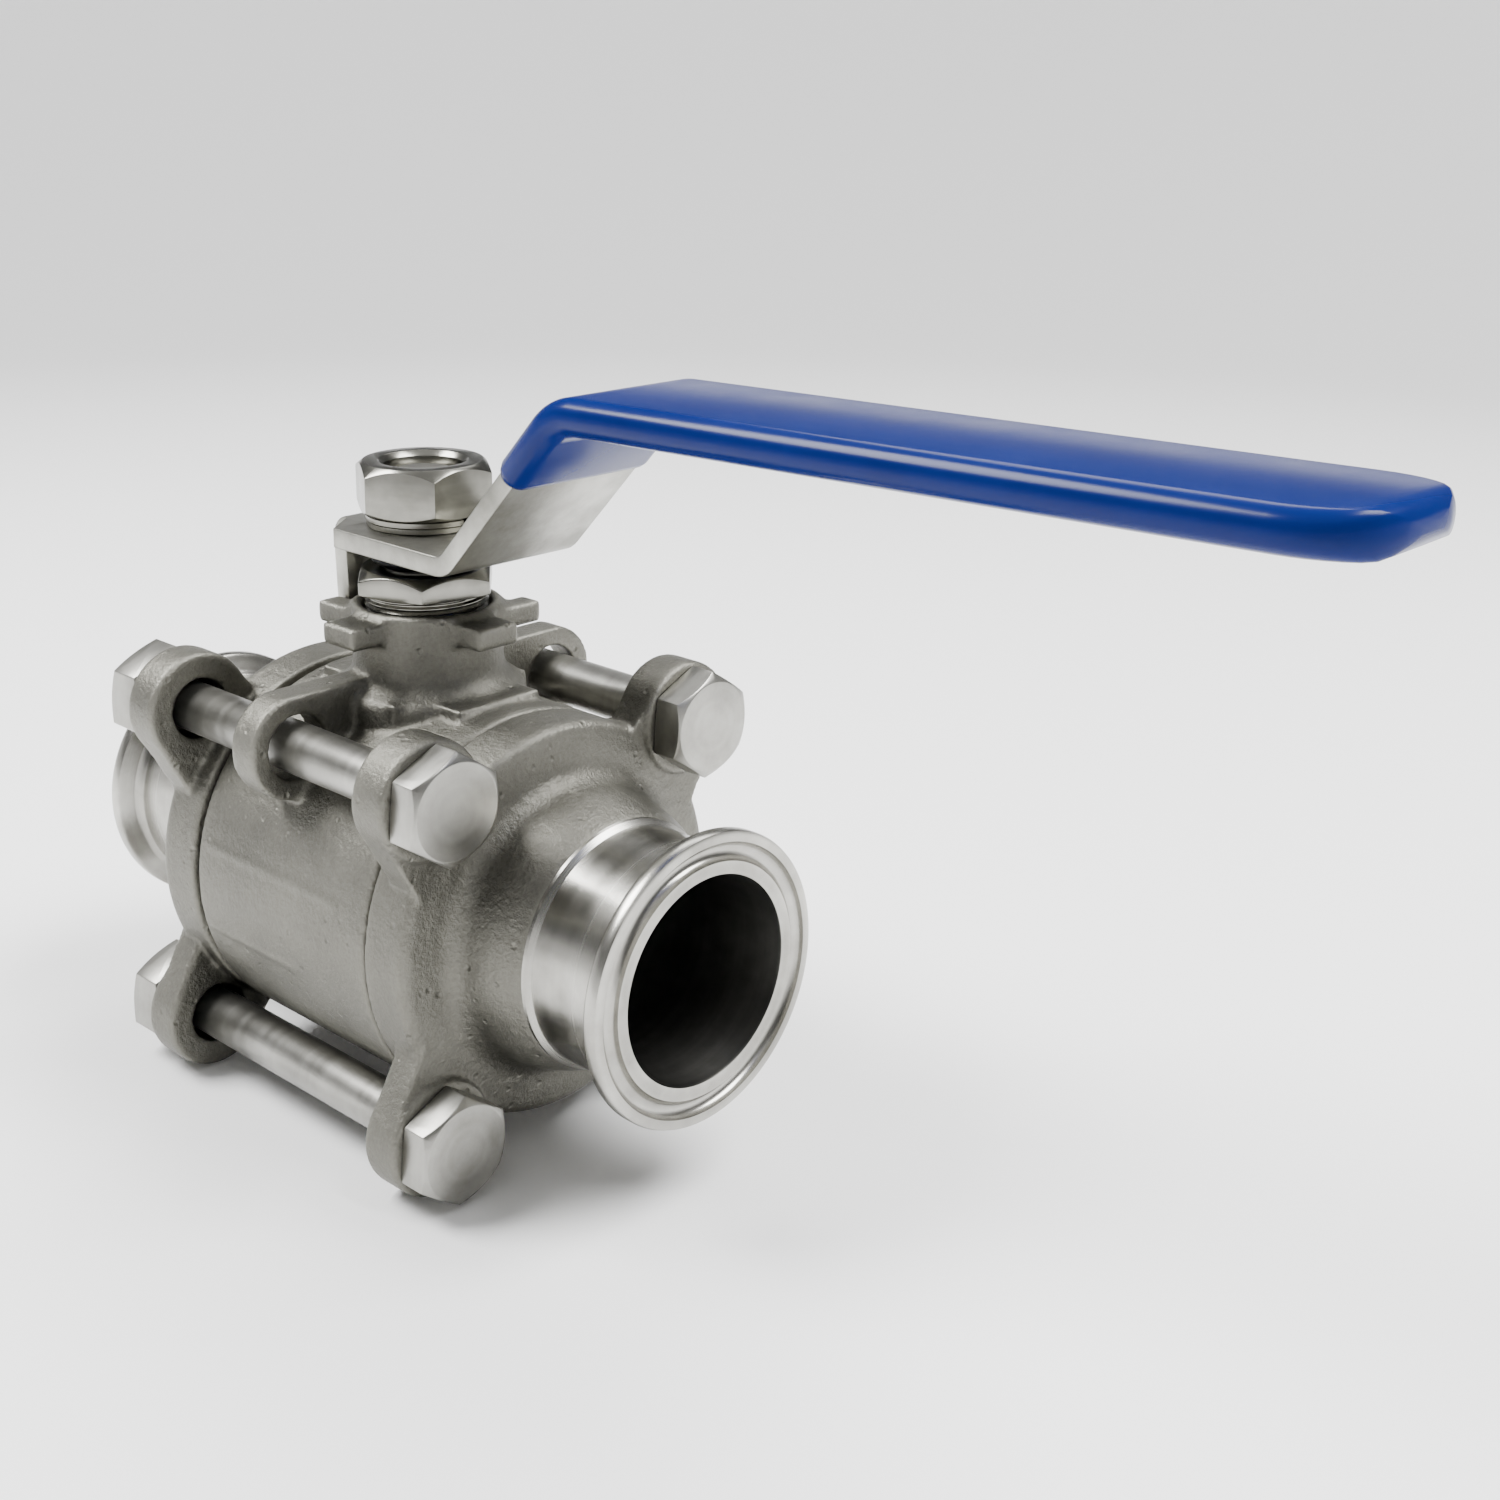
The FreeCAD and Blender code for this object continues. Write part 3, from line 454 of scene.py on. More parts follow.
cast_steel, tree, shader = new_material("cast_steel", (0.55, 0.53, 0.50), 1, 0.42)
grain = use(tree, blasted_grain, (-5, -2), Grains=1400.0, Pits=0.9)
tone = use(tree, cloudy_tone, (-5, 0), Patches=55.0, Low=0.0, High=1.0)
edges = use(tree, edge_wear_and_hollow_shade, (-5, 2))
lay_on_piece(tree, grain, tone)
cloud = math_node(tree, "MULTIPLY", (-5, 1), tone.outputs["Tone"], 0.25)
# Lighter on sharp outward edges for wear, darker in the hollows as painted shade.
edge_wear_and_shade = math_node(tree, "MULTIPLY", (-5, 3), edges.outputs["Rise"], 0.5)
fleck = math_node(tree, "MULTIPLY", (-4, 3), grain.outputs["Fleck"], 0.55)
shade = math_node(tree, "ADD", (-4, 1), cloud, edge_wear_and_shade)
mixed = math_node(tree, "ADD", (-3, 1), shade, fleck)
tree.links.new(blend_colours(tree, (-2, 1), mixed, (0.050, 0.048, 0.040), (0.215, 0.210, 0.182)),
               shader.inputs["Base Color"])
tree.links.new(roughness_between(tree, (-2, -1), tone.outputs["Tone"], 0.40, 0.50),
               shader.inputs["Roughness"])
raise_grain(tree, shader, grain.outputs["Height"], 0.20)


def ear_outline(side, up):
    """One ear as seen along the flow: round outside its bolt, then straight sides into the disc.
    A cap stands on its back while it is made, so its up is the first number of each corner."""
    outside = arc((bolt_side, bolt_up), ear_round, -34, 128, 28)
    root = [(ear_root * math.cos(math.radians(turn)), ear_root * math.sin(math.radians(turn)))
            for turn in (62, 40, 21)]
    ring = [(up * b, side * a) for a, b in outside + root]
    return ring[::-1] if side * up > 0 else ring


cap_profile = [(joint, spigot), (joint, barrel - 0.4), (joint + 0.4, barrel)]
cap_profile += arc((disc_front - disc_round, barrel - disc_round), disc_round, 90, 12, 5)
fillet_centre = (disc_front + 0.6 + hub_fillet, hub - 0.2 + hub_fillet)
cap_profile += arc(fillet_centre, hub_fillet, 183, 264, 9)
cap_profile += [(43.4, hub - 0.75), (46.2, hub - 1.6), (48.2, hub - 2.55)]
cap_profile += [(neck_start - 1.4, neck + 1.0), (neck_start - 0.9, neck + 0.3),
                (neck_start - 0.9, ferrule_bed), (spigot_back, ferrule_bed),
                (spigot_back, spigot), (joint, spigot)]
cap = turned("cap_casting_front", cap_profile, 160)
for side in (1, -1):
    for up in (1, -1):
        web = plate("web", ear_outline(side, up), ear_back + 0.3, disc_front + 0.1)
        combine(cap, web, "UNION")
        boss = turned("boss", [(ear_back, ear_round - ear_edge), (ear_back + 0.6, ear_round),
                               (ear_front - 0.7, ear_round),
                               (ear_front, ear_round - ear_edge)], 64)
        settle(boss, move=(up * bolt_up, side * bolt_side, 0))
        combine(cap, boss, "UNION")
        hole = turned("hole", [(ear_back - 2, bolt_hole), (ear_front + 3, bolt_hole)], 48)
        settle(hole, move=(up * bolt_up, side * bolt_side, 0))
        combine(cap, hole)
cast_skin(cap, cap_grain, 5)
painted(cap, cast_steel)
cap_rear = twin(cap, "cap_casting_rear")
settle(cap, (0, 90, 0))
settle(cap_rear, (0, -90, 0))
for piece, node_name in ((cap, "end_cap_front"), (cap_rear, "end_cap_rear")):
    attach(piece, "valve")
    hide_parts(node_name)

# -----------------------------------------------------------------------------
# Ferrules: the turned end of each cap. A plain neck, a rim with a tapered back and a round groove
# for the gasket in its face, all cut on a lathe, and the bore behind it.
face = 69.85
rim = 25.25
rim_edge = 2.7
rim_rise = 1.55
bore = 17.85
bore_start = 24.6
ferrule_wall = 19.6
groove = 21.8
groove_round = 1.6


def remember_place(piece):
    """Keeps where each point lay about the piece's own axis, for marks that follow the lathe."""
    marks = piece.data.attributes.new("lathe_place", "FLOAT_VECTOR", "POINT")
    marks.data.foreach_set(
        "vector", [value for point in piece.data.vertices for value in point.co])


# Lathe marks: fine rings round the piece's own axis, with slow changes from one ring to the next.
lathe_marks, entry, leave = new_group(
    "lathe_marks", [("Rings", "Float", 2500.0)], [("Height", "Float"), ("Band", "Float")])
own = node(lathe_marks, "Attribute", (-8, 0), attribute_name="lathe_place")
apart = node(lathe_marks, "SeparateXYZ", (-7, 0))
lathe_marks.links.new(own.outputs["Vector"], apart.inputs["Vector"])
across = math_node(lathe_marks, "MULTIPLY", (-6, 2), apart.outputs["X"], apart.outputs["X"])
aside = math_node(lathe_marks, "MULTIPLY", (-6, 1), apart.outputs["Y"], apart.outputs["Y"])
squares = math_node(lathe_marks, "ADD", (-5, 1), across, aside)
radius = math_node(lathe_marks, "SQRT", (-4, 1), squares, 0)
spun = node(lathe_marks, "CombineXYZ", (-3, 0))
lathe_marks.links.new(radius, spun.inputs["X"])
lathe_marks.links.new(apart.outputs["Z"], spun.inputs["Y"])
ring_noise = node(lathe_marks, "TexNoise", (-2, 1))
ring_noise.inputs["Detail"].default_value = 3
band_noise = node(lathe_marks, "TexNoise", (-2, -1))
band_noise.inputs["Detail"].default_value = 4
band_scale = math_node(lathe_marks, "MULTIPLY", (-3, -2), entry.outputs["Rings"], 0.2)
lathe_marks.links.new(spun.outputs["Vector"], ring_noise.inputs["Vector"])
lathe_marks.links.new(spun.outputs["Vector"], band_noise.inputs["Vector"])
lathe_marks.links.new(entry.outputs["Rings"], ring_noise.inputs["Scale"])
lathe_marks.links.new(band_scale, band_noise.inputs["Scale"])
lathe_marks.links.new(ring_noise.outputs["Fac"], leave.inputs["Height"])
lathe_marks.links.new(band_noise.outputs["Fac"], leave.inputs["Band"])


def turned_finish(name, dark, light, rough_low, rough_high, depth):
    """Steel off the lathe, between two tones, with rings of a given depth in mm."""
    made, tree, shader = new_material(name, light, 1, rough_low)
    marks = use(tree, lathe_marks, (-6, -1))
    tone = use(tree, cloudy_tone, (-6, 1), Patches=90.0, Low=0.0, High=1.0)
    lay_on_piece(tree, tone)
    cloud = math_node(tree, "MULTIPLY", (-5, 1), tone.outputs["Tone"], 0.5)
    band = math_node(tree, "MULTIPLY", (-5, 0), marks.outputs["Band"], 0.6)
    amount = math_node(tree, "ADD", (-4, 1), cloud, band)
    shine = roughness_between(tree, (-3, -1), marks.outputs["Band"], rough_low, rough_high)
    tree.links.new(blend_colours(tree, (-3, 1), amount, dark, light), shader.inputs["Base Color"])
    tree.links.new(shine, shader.inputs["Roughness"])
    raise_grain(tree, shader, marks.outputs["Height"], depth)
    return made


turned_steel = turned_finish("turned_steel", (0.20, 0.195, 0.175), (0.50, 0.49, 0.455),
                             0.18, 0.32, 0.006)
# A much darker copy of the turned finish for the insides of bores: painted shade.
shaded_bore_steel = turned_finish("shaded_bore_steel", (0.05, 0.05, 0.046), (0.11, 0.108, 0.10),
                           0.34, 0.46, 0.006)

rim_back = face - rim_edge
rim_foot = rim_back - rim_rise
# The bore and the gasket groove in the face.
ferrule_profile = [(bore_start, bore), (face - 0.4, bore), (face - 0.1, bore + 0.15),
                   (face, bore + 0.5), (face, groove - groove_round)]
ferrule_profile += [(face - groove_round * math.sin(a), groove - groove_round * math.cos(a))
                    for a in [math.pi * n / 10 for n in range(1, 10)]]
# The rim, with its corners taken off, and its tapered back.
ferrule_profile += [(face, groove + groove_round), (face, rim - 0.6), (face - 0.18, rim - 0.18),
                    (face - 0.6, rim), (rim_back + 0.5, rim), (rim_back + 0.1, rim - 0.15),
                    (rim_back - 0.15, rim - 0.5), (rim_foot + 0.5, neck + 1.3),
                    (rim_foot, neck + 0.5), (rim_foot - 0.6, neck + 0.1)]
# The neck, and the bead where it meets the casting.
ferrule_profile += [(rim_foot - 1.4, neck), (neck_start + 0.1, neck),
                    (neck_start - 0.75, neck + 0.85), (neck_start - 1.3, neck + 0.95),
                    (neck_start - 1.9, neck + 0.6), (neck_start - 1.9, ferrule_wall),
                    (bore_start, ferrule_wall), (bore_start, bore)]
ferrule = turned("ferrule_front", ferrule_profile, 192)
remember_place(ferrule)
smooth(ferrule, 28)
painted(ferrule, turned_steel)
# The faces inside the bore get the darker copy of the finish, as painted shade.
ferrule.data.materials.append(shaded_bore_steel)
for patch in ferrule.data.polygons:
    patch.material_index = 1 if patch.center.xy.length < (bore + 0.1) * mm else 0
ferrule_rear = twin(ferrule, "ferrule_rear")
settle(ferrule, (0, 90, 0))
settle(ferrule_rear, (0, -90, 0))
for piece, node_name in ((ferrule, "end_cap_front"), (ferrule_rear, "end_cap_rear")):
    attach(piece, "valve")
    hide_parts(node_name)

# -----------------------------------------------------------------------------
# Body: one casting. A barrel round the ball, a cross-shaped pad with the bonnet on it, two locking
# ears and two travel stops at the bonnet's top, and two arms with lugs for the upper bolts.
body_end = 24.9
body_spigot = 31
cavity = 29
cavity_half = 20
bonnet_round = 13.4
bonnet_top = 50.8
catch_top = 49.5
catch_thick = 3.9
catch_out = 19.7
catch_half = 4.4
stop_near = 6.65
stop_far = 11.85
stop_out = 16.6
crown_foot = 26
crown_top = 36.0
crown_long = 20.5
crown_wide = 16
crown_narrow = 9.65
foot_round = 4.4
foot_low = crown_top - 0.2
well_narrow = 7.4
well_step = 38
well_wide = 11.5
lug_round = 9.4
lug_hole = 5.8
lug_front = 0.8
lug_back = -5.8
arm_top = 39.2
ridge_depth = barrel - 0.35
body_grain = 0.6


def block(name, along, side, low, high):
    """A flat plate with four corners. along and side are each (low, high)."""
    return plate(name, [(along[0], side[0]), (along[1], side[0]), (along[1], side[1]),
                        (along[0], side[1])], low, high)


barrel_profile = [(-body_end, body_spigot), (-body_end, barrel - 0.9), (-23.7, barrel - 0.9),
                  (-23.3, barrel), (body_end - 0.5, barrel), (body_end, barrel - 0.5),
                  (body_end, body_spigot), (cavity_half, cavity), (-cavity_half, cavity),
                  (-body_end, body_spigot)]
body = turned("body_casting", barrel_profile, 160)
settle(body, (0, 90, 0))
# The crown is two crossed pads that narrow a little upwards.
for along, side in ((crown_long, crown_narrow), (crown_narrow, crown_wide)):
    pad = block("pad", (-along, along), (-side, side), crown_foot, crown_top)
    select_faces(pad, lambda face: face.normal.z > 0.9)
    bpy.ops.transform.resize(value=(0.94, 0.94, 1), center_override=(0, 0, 0))
    bpy.ops.object.mode_set(mode="OBJECT")
    combine(body, pad, "UNION")
bonnet_foot = [(foot_low + foot_round - foot_round * math.cos(a),
                bonnet_round + foot_round - foot_round * math.sin(a))
               for a in [math.radians(10 * n) for n in range(2, 9)]]
foot_wide = bonnet_foot[0][1]
bonnet = turned("bonnet", [(28, foot_wide + 1.5), (foot_low - 1, foot_wide + 0.8)] + bonnet_foot
                + [(foot_low + foot_round, bonnet_round), (bonnet_top - 0.5, bonnet_round),
                   (bonnet_top, bonnet_round - 0.5)], 96)
combine(body, bonnet, "UNION")
# Two faint parting ridges run along the near side.
for turn, start, end in ((167.5, -21.5, 17.3), (193, -21.8, 4.7)):
    ridge = turned("ridge", [(start, 0.35), (start + 0.6, 0.75), (end - 0.6, 0.75),
                             (end, 0.35)], 12)
    settle(ridge, (0, 90, 0), (0, ridge_depth * math.cos(math.radians(turn)),
                               ridge_depth * math.sin(math.radians(turn))))
    combine(body, ridge, "UNION")
# Two locking ears, to the near side and the front, then the two travel stops.
for along, side in (
        ((-catch_half, catch_half), (-catch_out, -8)), ((8, catch_out), (-catch_half, catch_half)),
        ((-stop_out, -6), (-stop_far, -stop_near)), ((stop_near, stop_far), (6, stop_out))):
    arm = block("arm", along, side, catch_top - catch_thick, catch_top)
    combine(body, arm, "UNION")
for side in (1, -1):
    outline = [(side * a, b) for a, b in arc((bolt_side, bolt_up), lug_round, -150, 78, 32)
               + [(10, arm_top), (8, bolt_up)]]
    lug = plate("lug", outline if side > 0 else outline[::-1], lug_back, lug_front)
    settle(lug, (90, 0, 90))
    combine(body, lug, "UNION")
for side in (1, -1):
    hole = turned("hole", [(lug_back - 4, lug_hole), (lug_front + 4, lug_hole)], 48)
    settle(hole, (0, 90, 0), (0, side * bolt_side, bolt_up))
    combine(body, hole)
well = turned("well", [(crown_foot, well_narrow), (well_step, well_narrow),
                       (well_step, well_wide), (bonnet_top + 2, well_wide)], 64)
combine(body, well)
cast_skin(body, body_grain, 6)
painted(body, cast_steel)
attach(body, "valve")
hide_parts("body")

# -----------------------------------------------------------------------------
# Inside: PTFE seats, joint rings, thrust washer and packing, and the polished ball. They are plain
# turned pieces that the castings hide, so the design's own shapes stay.


def cloudy_shine(name, colour, metallic, roughness, patches, low, high):
    """A plain finish whose shine changes slowly over the surface."""
    made, tree, shader = new_material(name, colour, metallic, roughness)
    tone = use(tree, cloudy_tone, (-5, 0), Patches=patches, Low=low, High=high)
    lay_on_piece(tree, tone)
    tree.links.new(tone.outputs["Tone"], shader.inputs["Roughness"])
    return made


ptfe = cloudy_shine("ptfe", (0.86, 0.86, 0.84), 0, 0.5, 220.0, 0.42, 0.55)
ball_steel = cloudy_shine("ball_steel", (0.62, 0.61, 0.60), 1, 0.18, 400.0, 0.14, 0.26)
for name in ("seat_front", "seat_rear", "joint_ring_front", "joint_ring_rear", "thrust_washer",
             "packing_lower", "packing_middle", "packing_upper"):
    painted(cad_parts[name], ptfe)
painted(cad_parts["gland_follower"], ball_steel)
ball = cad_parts["ball"]
painted(ball, ball_steel)
# The faces inside the ball's bore get the darker copy of the finish, as painted shade.
ball.data.materials.append(shaded_bore_steel)
for patch in ball.data.polygons:
    patch.material_index = 1 if patch.center.yz.length < (bore + 0.3) * mm else 0

# -----------------------------------------------------------------------------
# Bolts: four hexagon bolts of satin steel through the ears, each with a nut behind the rear cap.
# The heads are forged and chamfered on a lathe. The threads are rolled.
bolt_across = 17
bolt_head = 6.2
bolt_nut = 8.2
bolt_tail = 2.0
shank = 4.5
thread_end = 13
bolt_turn = -5
corner_share = 0.477


def hex_blank(name, across, low, high, turn, chamfers):
    """A hexagon bar cut to length, with its corners turned off to (bottom, top) depths."""
    corner = across / math.sqrt(3)
    piece = plate(name, arc((0, 0), corner, turn, turn + 300, 5), low, high)
    bottom, top = chamfers
    inside = across * corner_share
    outside = corner + 0.4
    combine(piece, turned("turning", [(low - 0.01, inside), (low + bottom, outside),
                                      (high - top, outside), (high + 0.01, inside)], 192),
            "INTERSECT")
    return piece


def break_edges(piece, width, segments, angle=28):
    """Takes the sharpness off every edge that turns by more than an angle in degrees."""
    finish_with(piece, "BEVEL", width=width * mm, segments=segments, limit_method="ANGLE",
                angle_limit=math.radians(angle))


def thread(name, radius, pitch, low, turns, sides=48):
    """A rolled thread about Z: a small rib wound up the screw, closed at both ends."""
    deselect()
    bpy.ops.mesh.primitive_plane_add(size=mm)
    piece = bpy.context.object
    piece.name = name
    root = radius - pitch * 0.55
    crest = radius - pitch * 0.05
    rib = [(root, 0.03), (crest, 0.44), (root, 0.97), (crest, 0.56)]
    for corner, (out, share) in zip(piece.data.vertices, rib):
        corner.co = (out * mm, 0, (low + share * pitch) * mm)
    bpy.ops.object.mode_set(mode="EDIT")
    bpy.ops.mesh.select_all(action="SELECT")
    bpy.ops.mesh.delete(type="ONLY_FACE")
    bpy.ops.object.mode_set(mode="OBJECT")
    finish_with(piece, "SCREW", axis="Z", screw_offset=pitch * mm, iterations=turns, steps=sides,
                render_steps=sides, use_normal_calculate=True)
    bpy.ops.object.mode_set(mode="EDIT")
    bpy.ops.mesh.select_all(action="SELECT")
    bpy.ops.mesh.fill_holes(sides=4)
    close_up()
    bpy.ops.object.mode_set(mode="OBJECT")
    return piece


def join(piece, *others):
    """Joins other pieces into one."""
    deselect()
    for other in others:
        other.select_set(True)
    piece.select_set(True)
    bpy.context.view_layer.objects.active = piece
    bpy.ops.object.join()


satin_steel = turned_finish("satin_steel", (0.19, 0.186, 0.168), (0.42, 0.414, 0.385),
                            0.28, 0.42, 0.008)

head = hex_blank("bolt", bolt_across, ear_front, ear_front + bolt_head, bolt_turn, (0.35, 1.4))
break_edges(head, 0.22, 2)
nut_back = -(ear_front + bolt_nut)
tail = nut_back - bolt_tail
bolt_thread = thread("bolt_thread", shank, 1.25, tail + 0.6, 9)
rod = turned("rod", [(tail, shank - 1.1), (tail + 0.9, shank - 0.6),
                     (tail + thread_end, shank - 0.6), (tail + thread_end + 1, shank),
                     (ear_front - 0.6, shank), (ear_front, shank + 0.5),
                     (ear_front + 1, shank + 0.5)], 64)
join(head, rod, bolt_thread)
remember_place(head)
smooth(head)
painted(head, satin_steel)
nut = hex_blank("bolt_nut", bolt_across, nut_back, -ear_front, bolt_turn, (1.2, 0.8))
combine(nut, turned("bored", [(nut_back - 1, shank + 0.05), (1 - ear_front, shank + 0.05)], 48))
break_edges(nut, 0.22, 2)
remember_place(nut)
smooth(nut)
painted(nut, satin_steel)
for corner, side, up in (("top_near", -1, 1), ("bottom_near", -1, -1), ("top_far", 1, 1),
                         ("bottom_far", 1, -1)):
    for master, word in ((head, "bolt"), (nut, "bolt_nut")):
        piece = twin(master, "%s_%s_detailed" % (word, corner))
        settle(piece, (0, 90, 0), (0, side * bolt_side, up * bolt_up))
        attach(piece, "valve")
        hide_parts("%s_%s" % (word, corner))
bpy.data.objects.remove(head)
bpy.data.objects.remove(nut)

# -----------------------------------------------------------------------------
# Gland nut: a bright hexagon nut turned from stainless bar, with a fine thread below it. It is
# screwed into the bonnet and presses on the packing round the stem.
gland_across = 22.8
gland_low = 52.7
gland_high = 57.1
gland_shank = 45.0
gland_turn = 18
chamber = 11.0
stem = 7.0
stem_hole = stem + 0.3

bright_steel = turned_finish("bright_steel", (0.11, 0.108, 0.094), (0.30, 0.295, 0.265),
                             0.16, 0.28, 0.004)

gland = hex_blank("gland_nut_detailed", gland_across, gland_low, gland_high, gland_turn,
                  (0.35, 1.9))
shaft = turned("gland_shaft", [(gland_shank, stem_hole), (gland_shank, chamber - 1.0),
                               (gland_low - 0.9, chamber - 1.0), (gland_low - 0.9, chamber - 0.5),
                               (gland_low + 0.3, chamber - 0.5), (gland_low + 0.3, stem_hole),
                               (gland_shank, stem_hole)], 96)
combine(gland, turned("bored", [(gland_low - 1, stem_hole), (gland_high + 1, stem_hole)], 64))
break_edges(gland, 0.25, 3)
join(gland, shaft, thread("gland_thread", chamber, 1.0, gland_shank + 0.2, 7, 96))
remember_place(gland)
smooth(gland)
painted(gland, bright_steel)
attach(gland, "valve")
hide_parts("gland_nut")

# -----------------------------------------------------------------------------
# Disc springs: two blackened cones of spring steel, pressed from sheet. They lie edge to edge
# between the gland nut and the lever, and keep the packing pressed.
spring_low = 57.4
spring_high = 61.0

black_spring, tree, shader = new_material("black_spring", (0.045, 0.047, 0.055), 1, 0.3)
marks = use(tree, lathe_marks, (-5, -1))
tree.links.new(roughness_between(tree, (-3, -1), marks.outputs["Band"], 0.22, 0.42),
               shader.inputs["Roughness"])
raise_grain(tree, shader, marks.outputs["Height"], 0.006)
spring = turned("disc_spring_detailed", [
    (spring_low, stem + 0.1), (spring_low, 7.9), (57.6, 8.3), (58.4, 9.5), (58.9, 9.75),
    (59.15, 9.6), (59.2, 9.4), (59.25, 9.6), (59.5, 9.75), (60.0, 9.5), (60.8, 8.3),
    (spring_high, 7.9), (spring_high, stem + 0.1), (spring_low, stem + 0.1)], 96)
remember_place(spring)
smooth(spring)
painted(spring, black_spring)
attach(spring, "handle")
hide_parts("disc_spring")

# -----------------------------------------------------------------------------
# Lever: a strip of 3.5 mm stainless plate, sheared, bent up and level again, and tumbled. Its
# tail is bent down into the stop tab. The upper part runs inside the sleeve to the tip.
plate_low = 61.0
plate_thick = 3.5
plate_half = 14.0
upper_low = 90.2
upper_start = 50.3
tip_low = 93.6
tip_reach = 181.6
tip_taper = 8.6
lever_bend = 22.6
half_thick = plate_thick / 2
mid = plate_low + half_thick
rise = math.radians(46.5)
upper_turn = math.atan2(tip_low - upper_low, tip_reach - upper_start)
first_corner = lever_bend - half_thick * math.tan(rise / 2)
first_bend = 4.75
upper_bend = 9.75
upper_corner = (lever_bend + (upper_low - plate_low) / math.tan(rise)
                - half_thick * math.tan((rise - upper_turn) / 2), upper_low + half_thick)
first_start = first_corner - first_bend * math.tan(rise / 2)
tail_start = -7.8
tab_inner = 14.1
tab_bend = 2.55
tab_low = 47.0
tab_half = 6.5


def pick_end(piece, direction):
    """Selects the flat end that faces furthest in a direction, in edit mode."""
    bpy.ops.object.mode_set(mode="OBJECT")
    ahead = max(piece.data.polygons, key=lambda face: face.center.dot(Vector(direction))
                + 0.05 * face.normal.dot(Vector(direction)))
    for item in list(piece.data.vertices) + list(piece.data.edges) + list(piece.data.polygons):
        item.select = False
    ahead.select = True
    bpy.ops.object.mode_set(mode="EDIT")
    bpy.ops.mesh.select_mode(type="FACE")


def select_only(piece, wanted):
    """Selects the points a test picks and the edges between them, in edit mode."""
    bpy.ops.object.mode_set(mode="OBJECT")
    mesh = piece.data
    for face in mesh.polygons:
        face.select = False
    for point in mesh.vertices:
        point.select = wanted(point.co)
    for edge in mesh.edges:
        edge.select = all(mesh.vertices[index].select for index in edge.vertices)
    bpy.ops.object.mode_set(mode="EDIT")


def pull(along, up, grow=1.0):
    """Extrudes what is selected by a step in the lever's side view, and widens its end."""
    bpy.ops.mesh.extrude_region_move(TRANSFORM_OT_translate={"value": (along * mm, 0, up * mm)})
    if grow != 1.0:
        bpy.ops.transform.resize(value=(1, grow, 1), center_override=(0, 0, 0))


def bend_round(centre, angle, steps):
    """Spins what is selected about a line across the lever."""
    bpy.ops.mesh.spin(steps=steps, angle=-angle, center=(centre[0] * mm, 0, centre[1] * mm),
                      axis=(0, 1, 0))


deselect()
bpy.ops.mesh.primitive_cube_add(
    size=mm, location=((first_start + tail_start) / 2 * mm, 0, mid * mm))
lever = bpy.context.object
lever.name = "lever_plate"
lever.scale = (first_start - tail_start, plate_half * 2, plate_thick)
bpy.ops.object.transform_apply(location=True, rotation=True, scale=True)
pick_end(lever, (1, 0, 0))
bend_round((first_start, mid + first_bend), -rise, 8)
upper_back = upper_bend * math.tan((rise - upper_turn) / 2)
slope_long = ((upper_corner[0] - first_corner) / math.cos(rise)
              - first_bend * math.tan(rise / 2) - upper_back)
pull(slope_long * math.cos(rise), slope_long * math.sin(rise))
turn_from = (upper_corner[0] - upper_back * math.cos(rise),
             upper_corner[1] - upper_back * math.sin(rise))
turn_centre = (turn_from[0] + upper_bend * math.sin(rise),
               turn_from[1] - upper_bend * math.cos(rise))
bend_round(turn_centre, rise - upper_turn, 8)
top_long = (tip_reach - tip_taper - upper_corner[0]) / math.cos(upper_turn) - upper_back
pull(top_long * math.cos(upper_turn), top_long * math.sin(upper_turn))
# The tip narrows in two steps, and then the tail is bent down.
pull(4.6, 0.1, 0.86)
pull(4.0, 0.1, 0.6)
pick_end(lever, (-1, 0, 0))
tab_start = -(tab_inner + half_thick) + tab_bend
pull(tab_start - tail_start, 0, (tab_half + 0.4) / plate_half)
bend_round((tab_start, mid - tab_bend), -math.pi / 2, 6)
pull(0, tab_low - (mid - tab_bend), tab_half / (tab_half + 0.4))
close_up()
bpy.ops.object.mode_set(mode="OBJECT")
# The hole has two flats, which the stem's flats fit.
hole_round = arc((0, 0), stem + 0.1, -46, 46, 12) + arc((0, 0), stem + 0.1, 134, 226, 12)
combine(lever, plate("flat_hole", hole_round, plate_low - 3, plate_low + plate_thick + 3))
break_edges(lever, 0.45, 3, 30)
smooth(lever, 35)

plate_steel, tree, shader = new_material("plate_steel", (0.62, 0.61, 0.58), 1, 0.36)
grain = use(tree, blasted_grain, (-5, -2), Grains=1100.0, Pits=0.3)
tone = use(tree, cloudy_tone, (-5, 0), Patches=70.0, Low=0.0, High=1.0)
lay_on_piece(tree, grain, tone)
tree.links.new(blend_colours(tree, (-2, 1), tone.outputs["Tone"], (0.22, 0.216, 0.19),
                             (0.40, 0.395, 0.36)), shader.inputs["Base Color"])
tree.links.new(roughness_between(tree, (-2, -1), tone.outputs["Tone"], 0.42, 0.32),
               shader.inputs["Roughness"])
raise_grain(tree, shader, grain.outputs["Height"], 0.03)
painted(lever, plate_steel)
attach(lever, "handle")
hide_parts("lever")

# -----------------------------------------------------------------------------
# Sleeve: blue vinyl, dipped over the plate from halfway up its slope to the tip. Its edges are
# fully round, it follows the upper bend in one large curve, and its open end hugs the plate.
sleeve_half = 15.4
sleeve_thick = 3.12
tip_long = 13.0
sleeve_reach = tip_reach + 1.38
sleeve_start = 38.23
lip_long = 2.2


def half_width(back):
    """Half the sleeve's width, some way back from its tip, as a share."""
    return 1.0 if back >= tip_long else (1 - (1 - back / tip_long) ** 2) ** (1 / 3)


def half_deep(back):
    """Half the sleeve's depth, some way back from its tip, as a share."""
    return 1.0 if back >= sleeve_thick else math.sqrt(1 - (1 - back / sleeve_thick) ** 2)


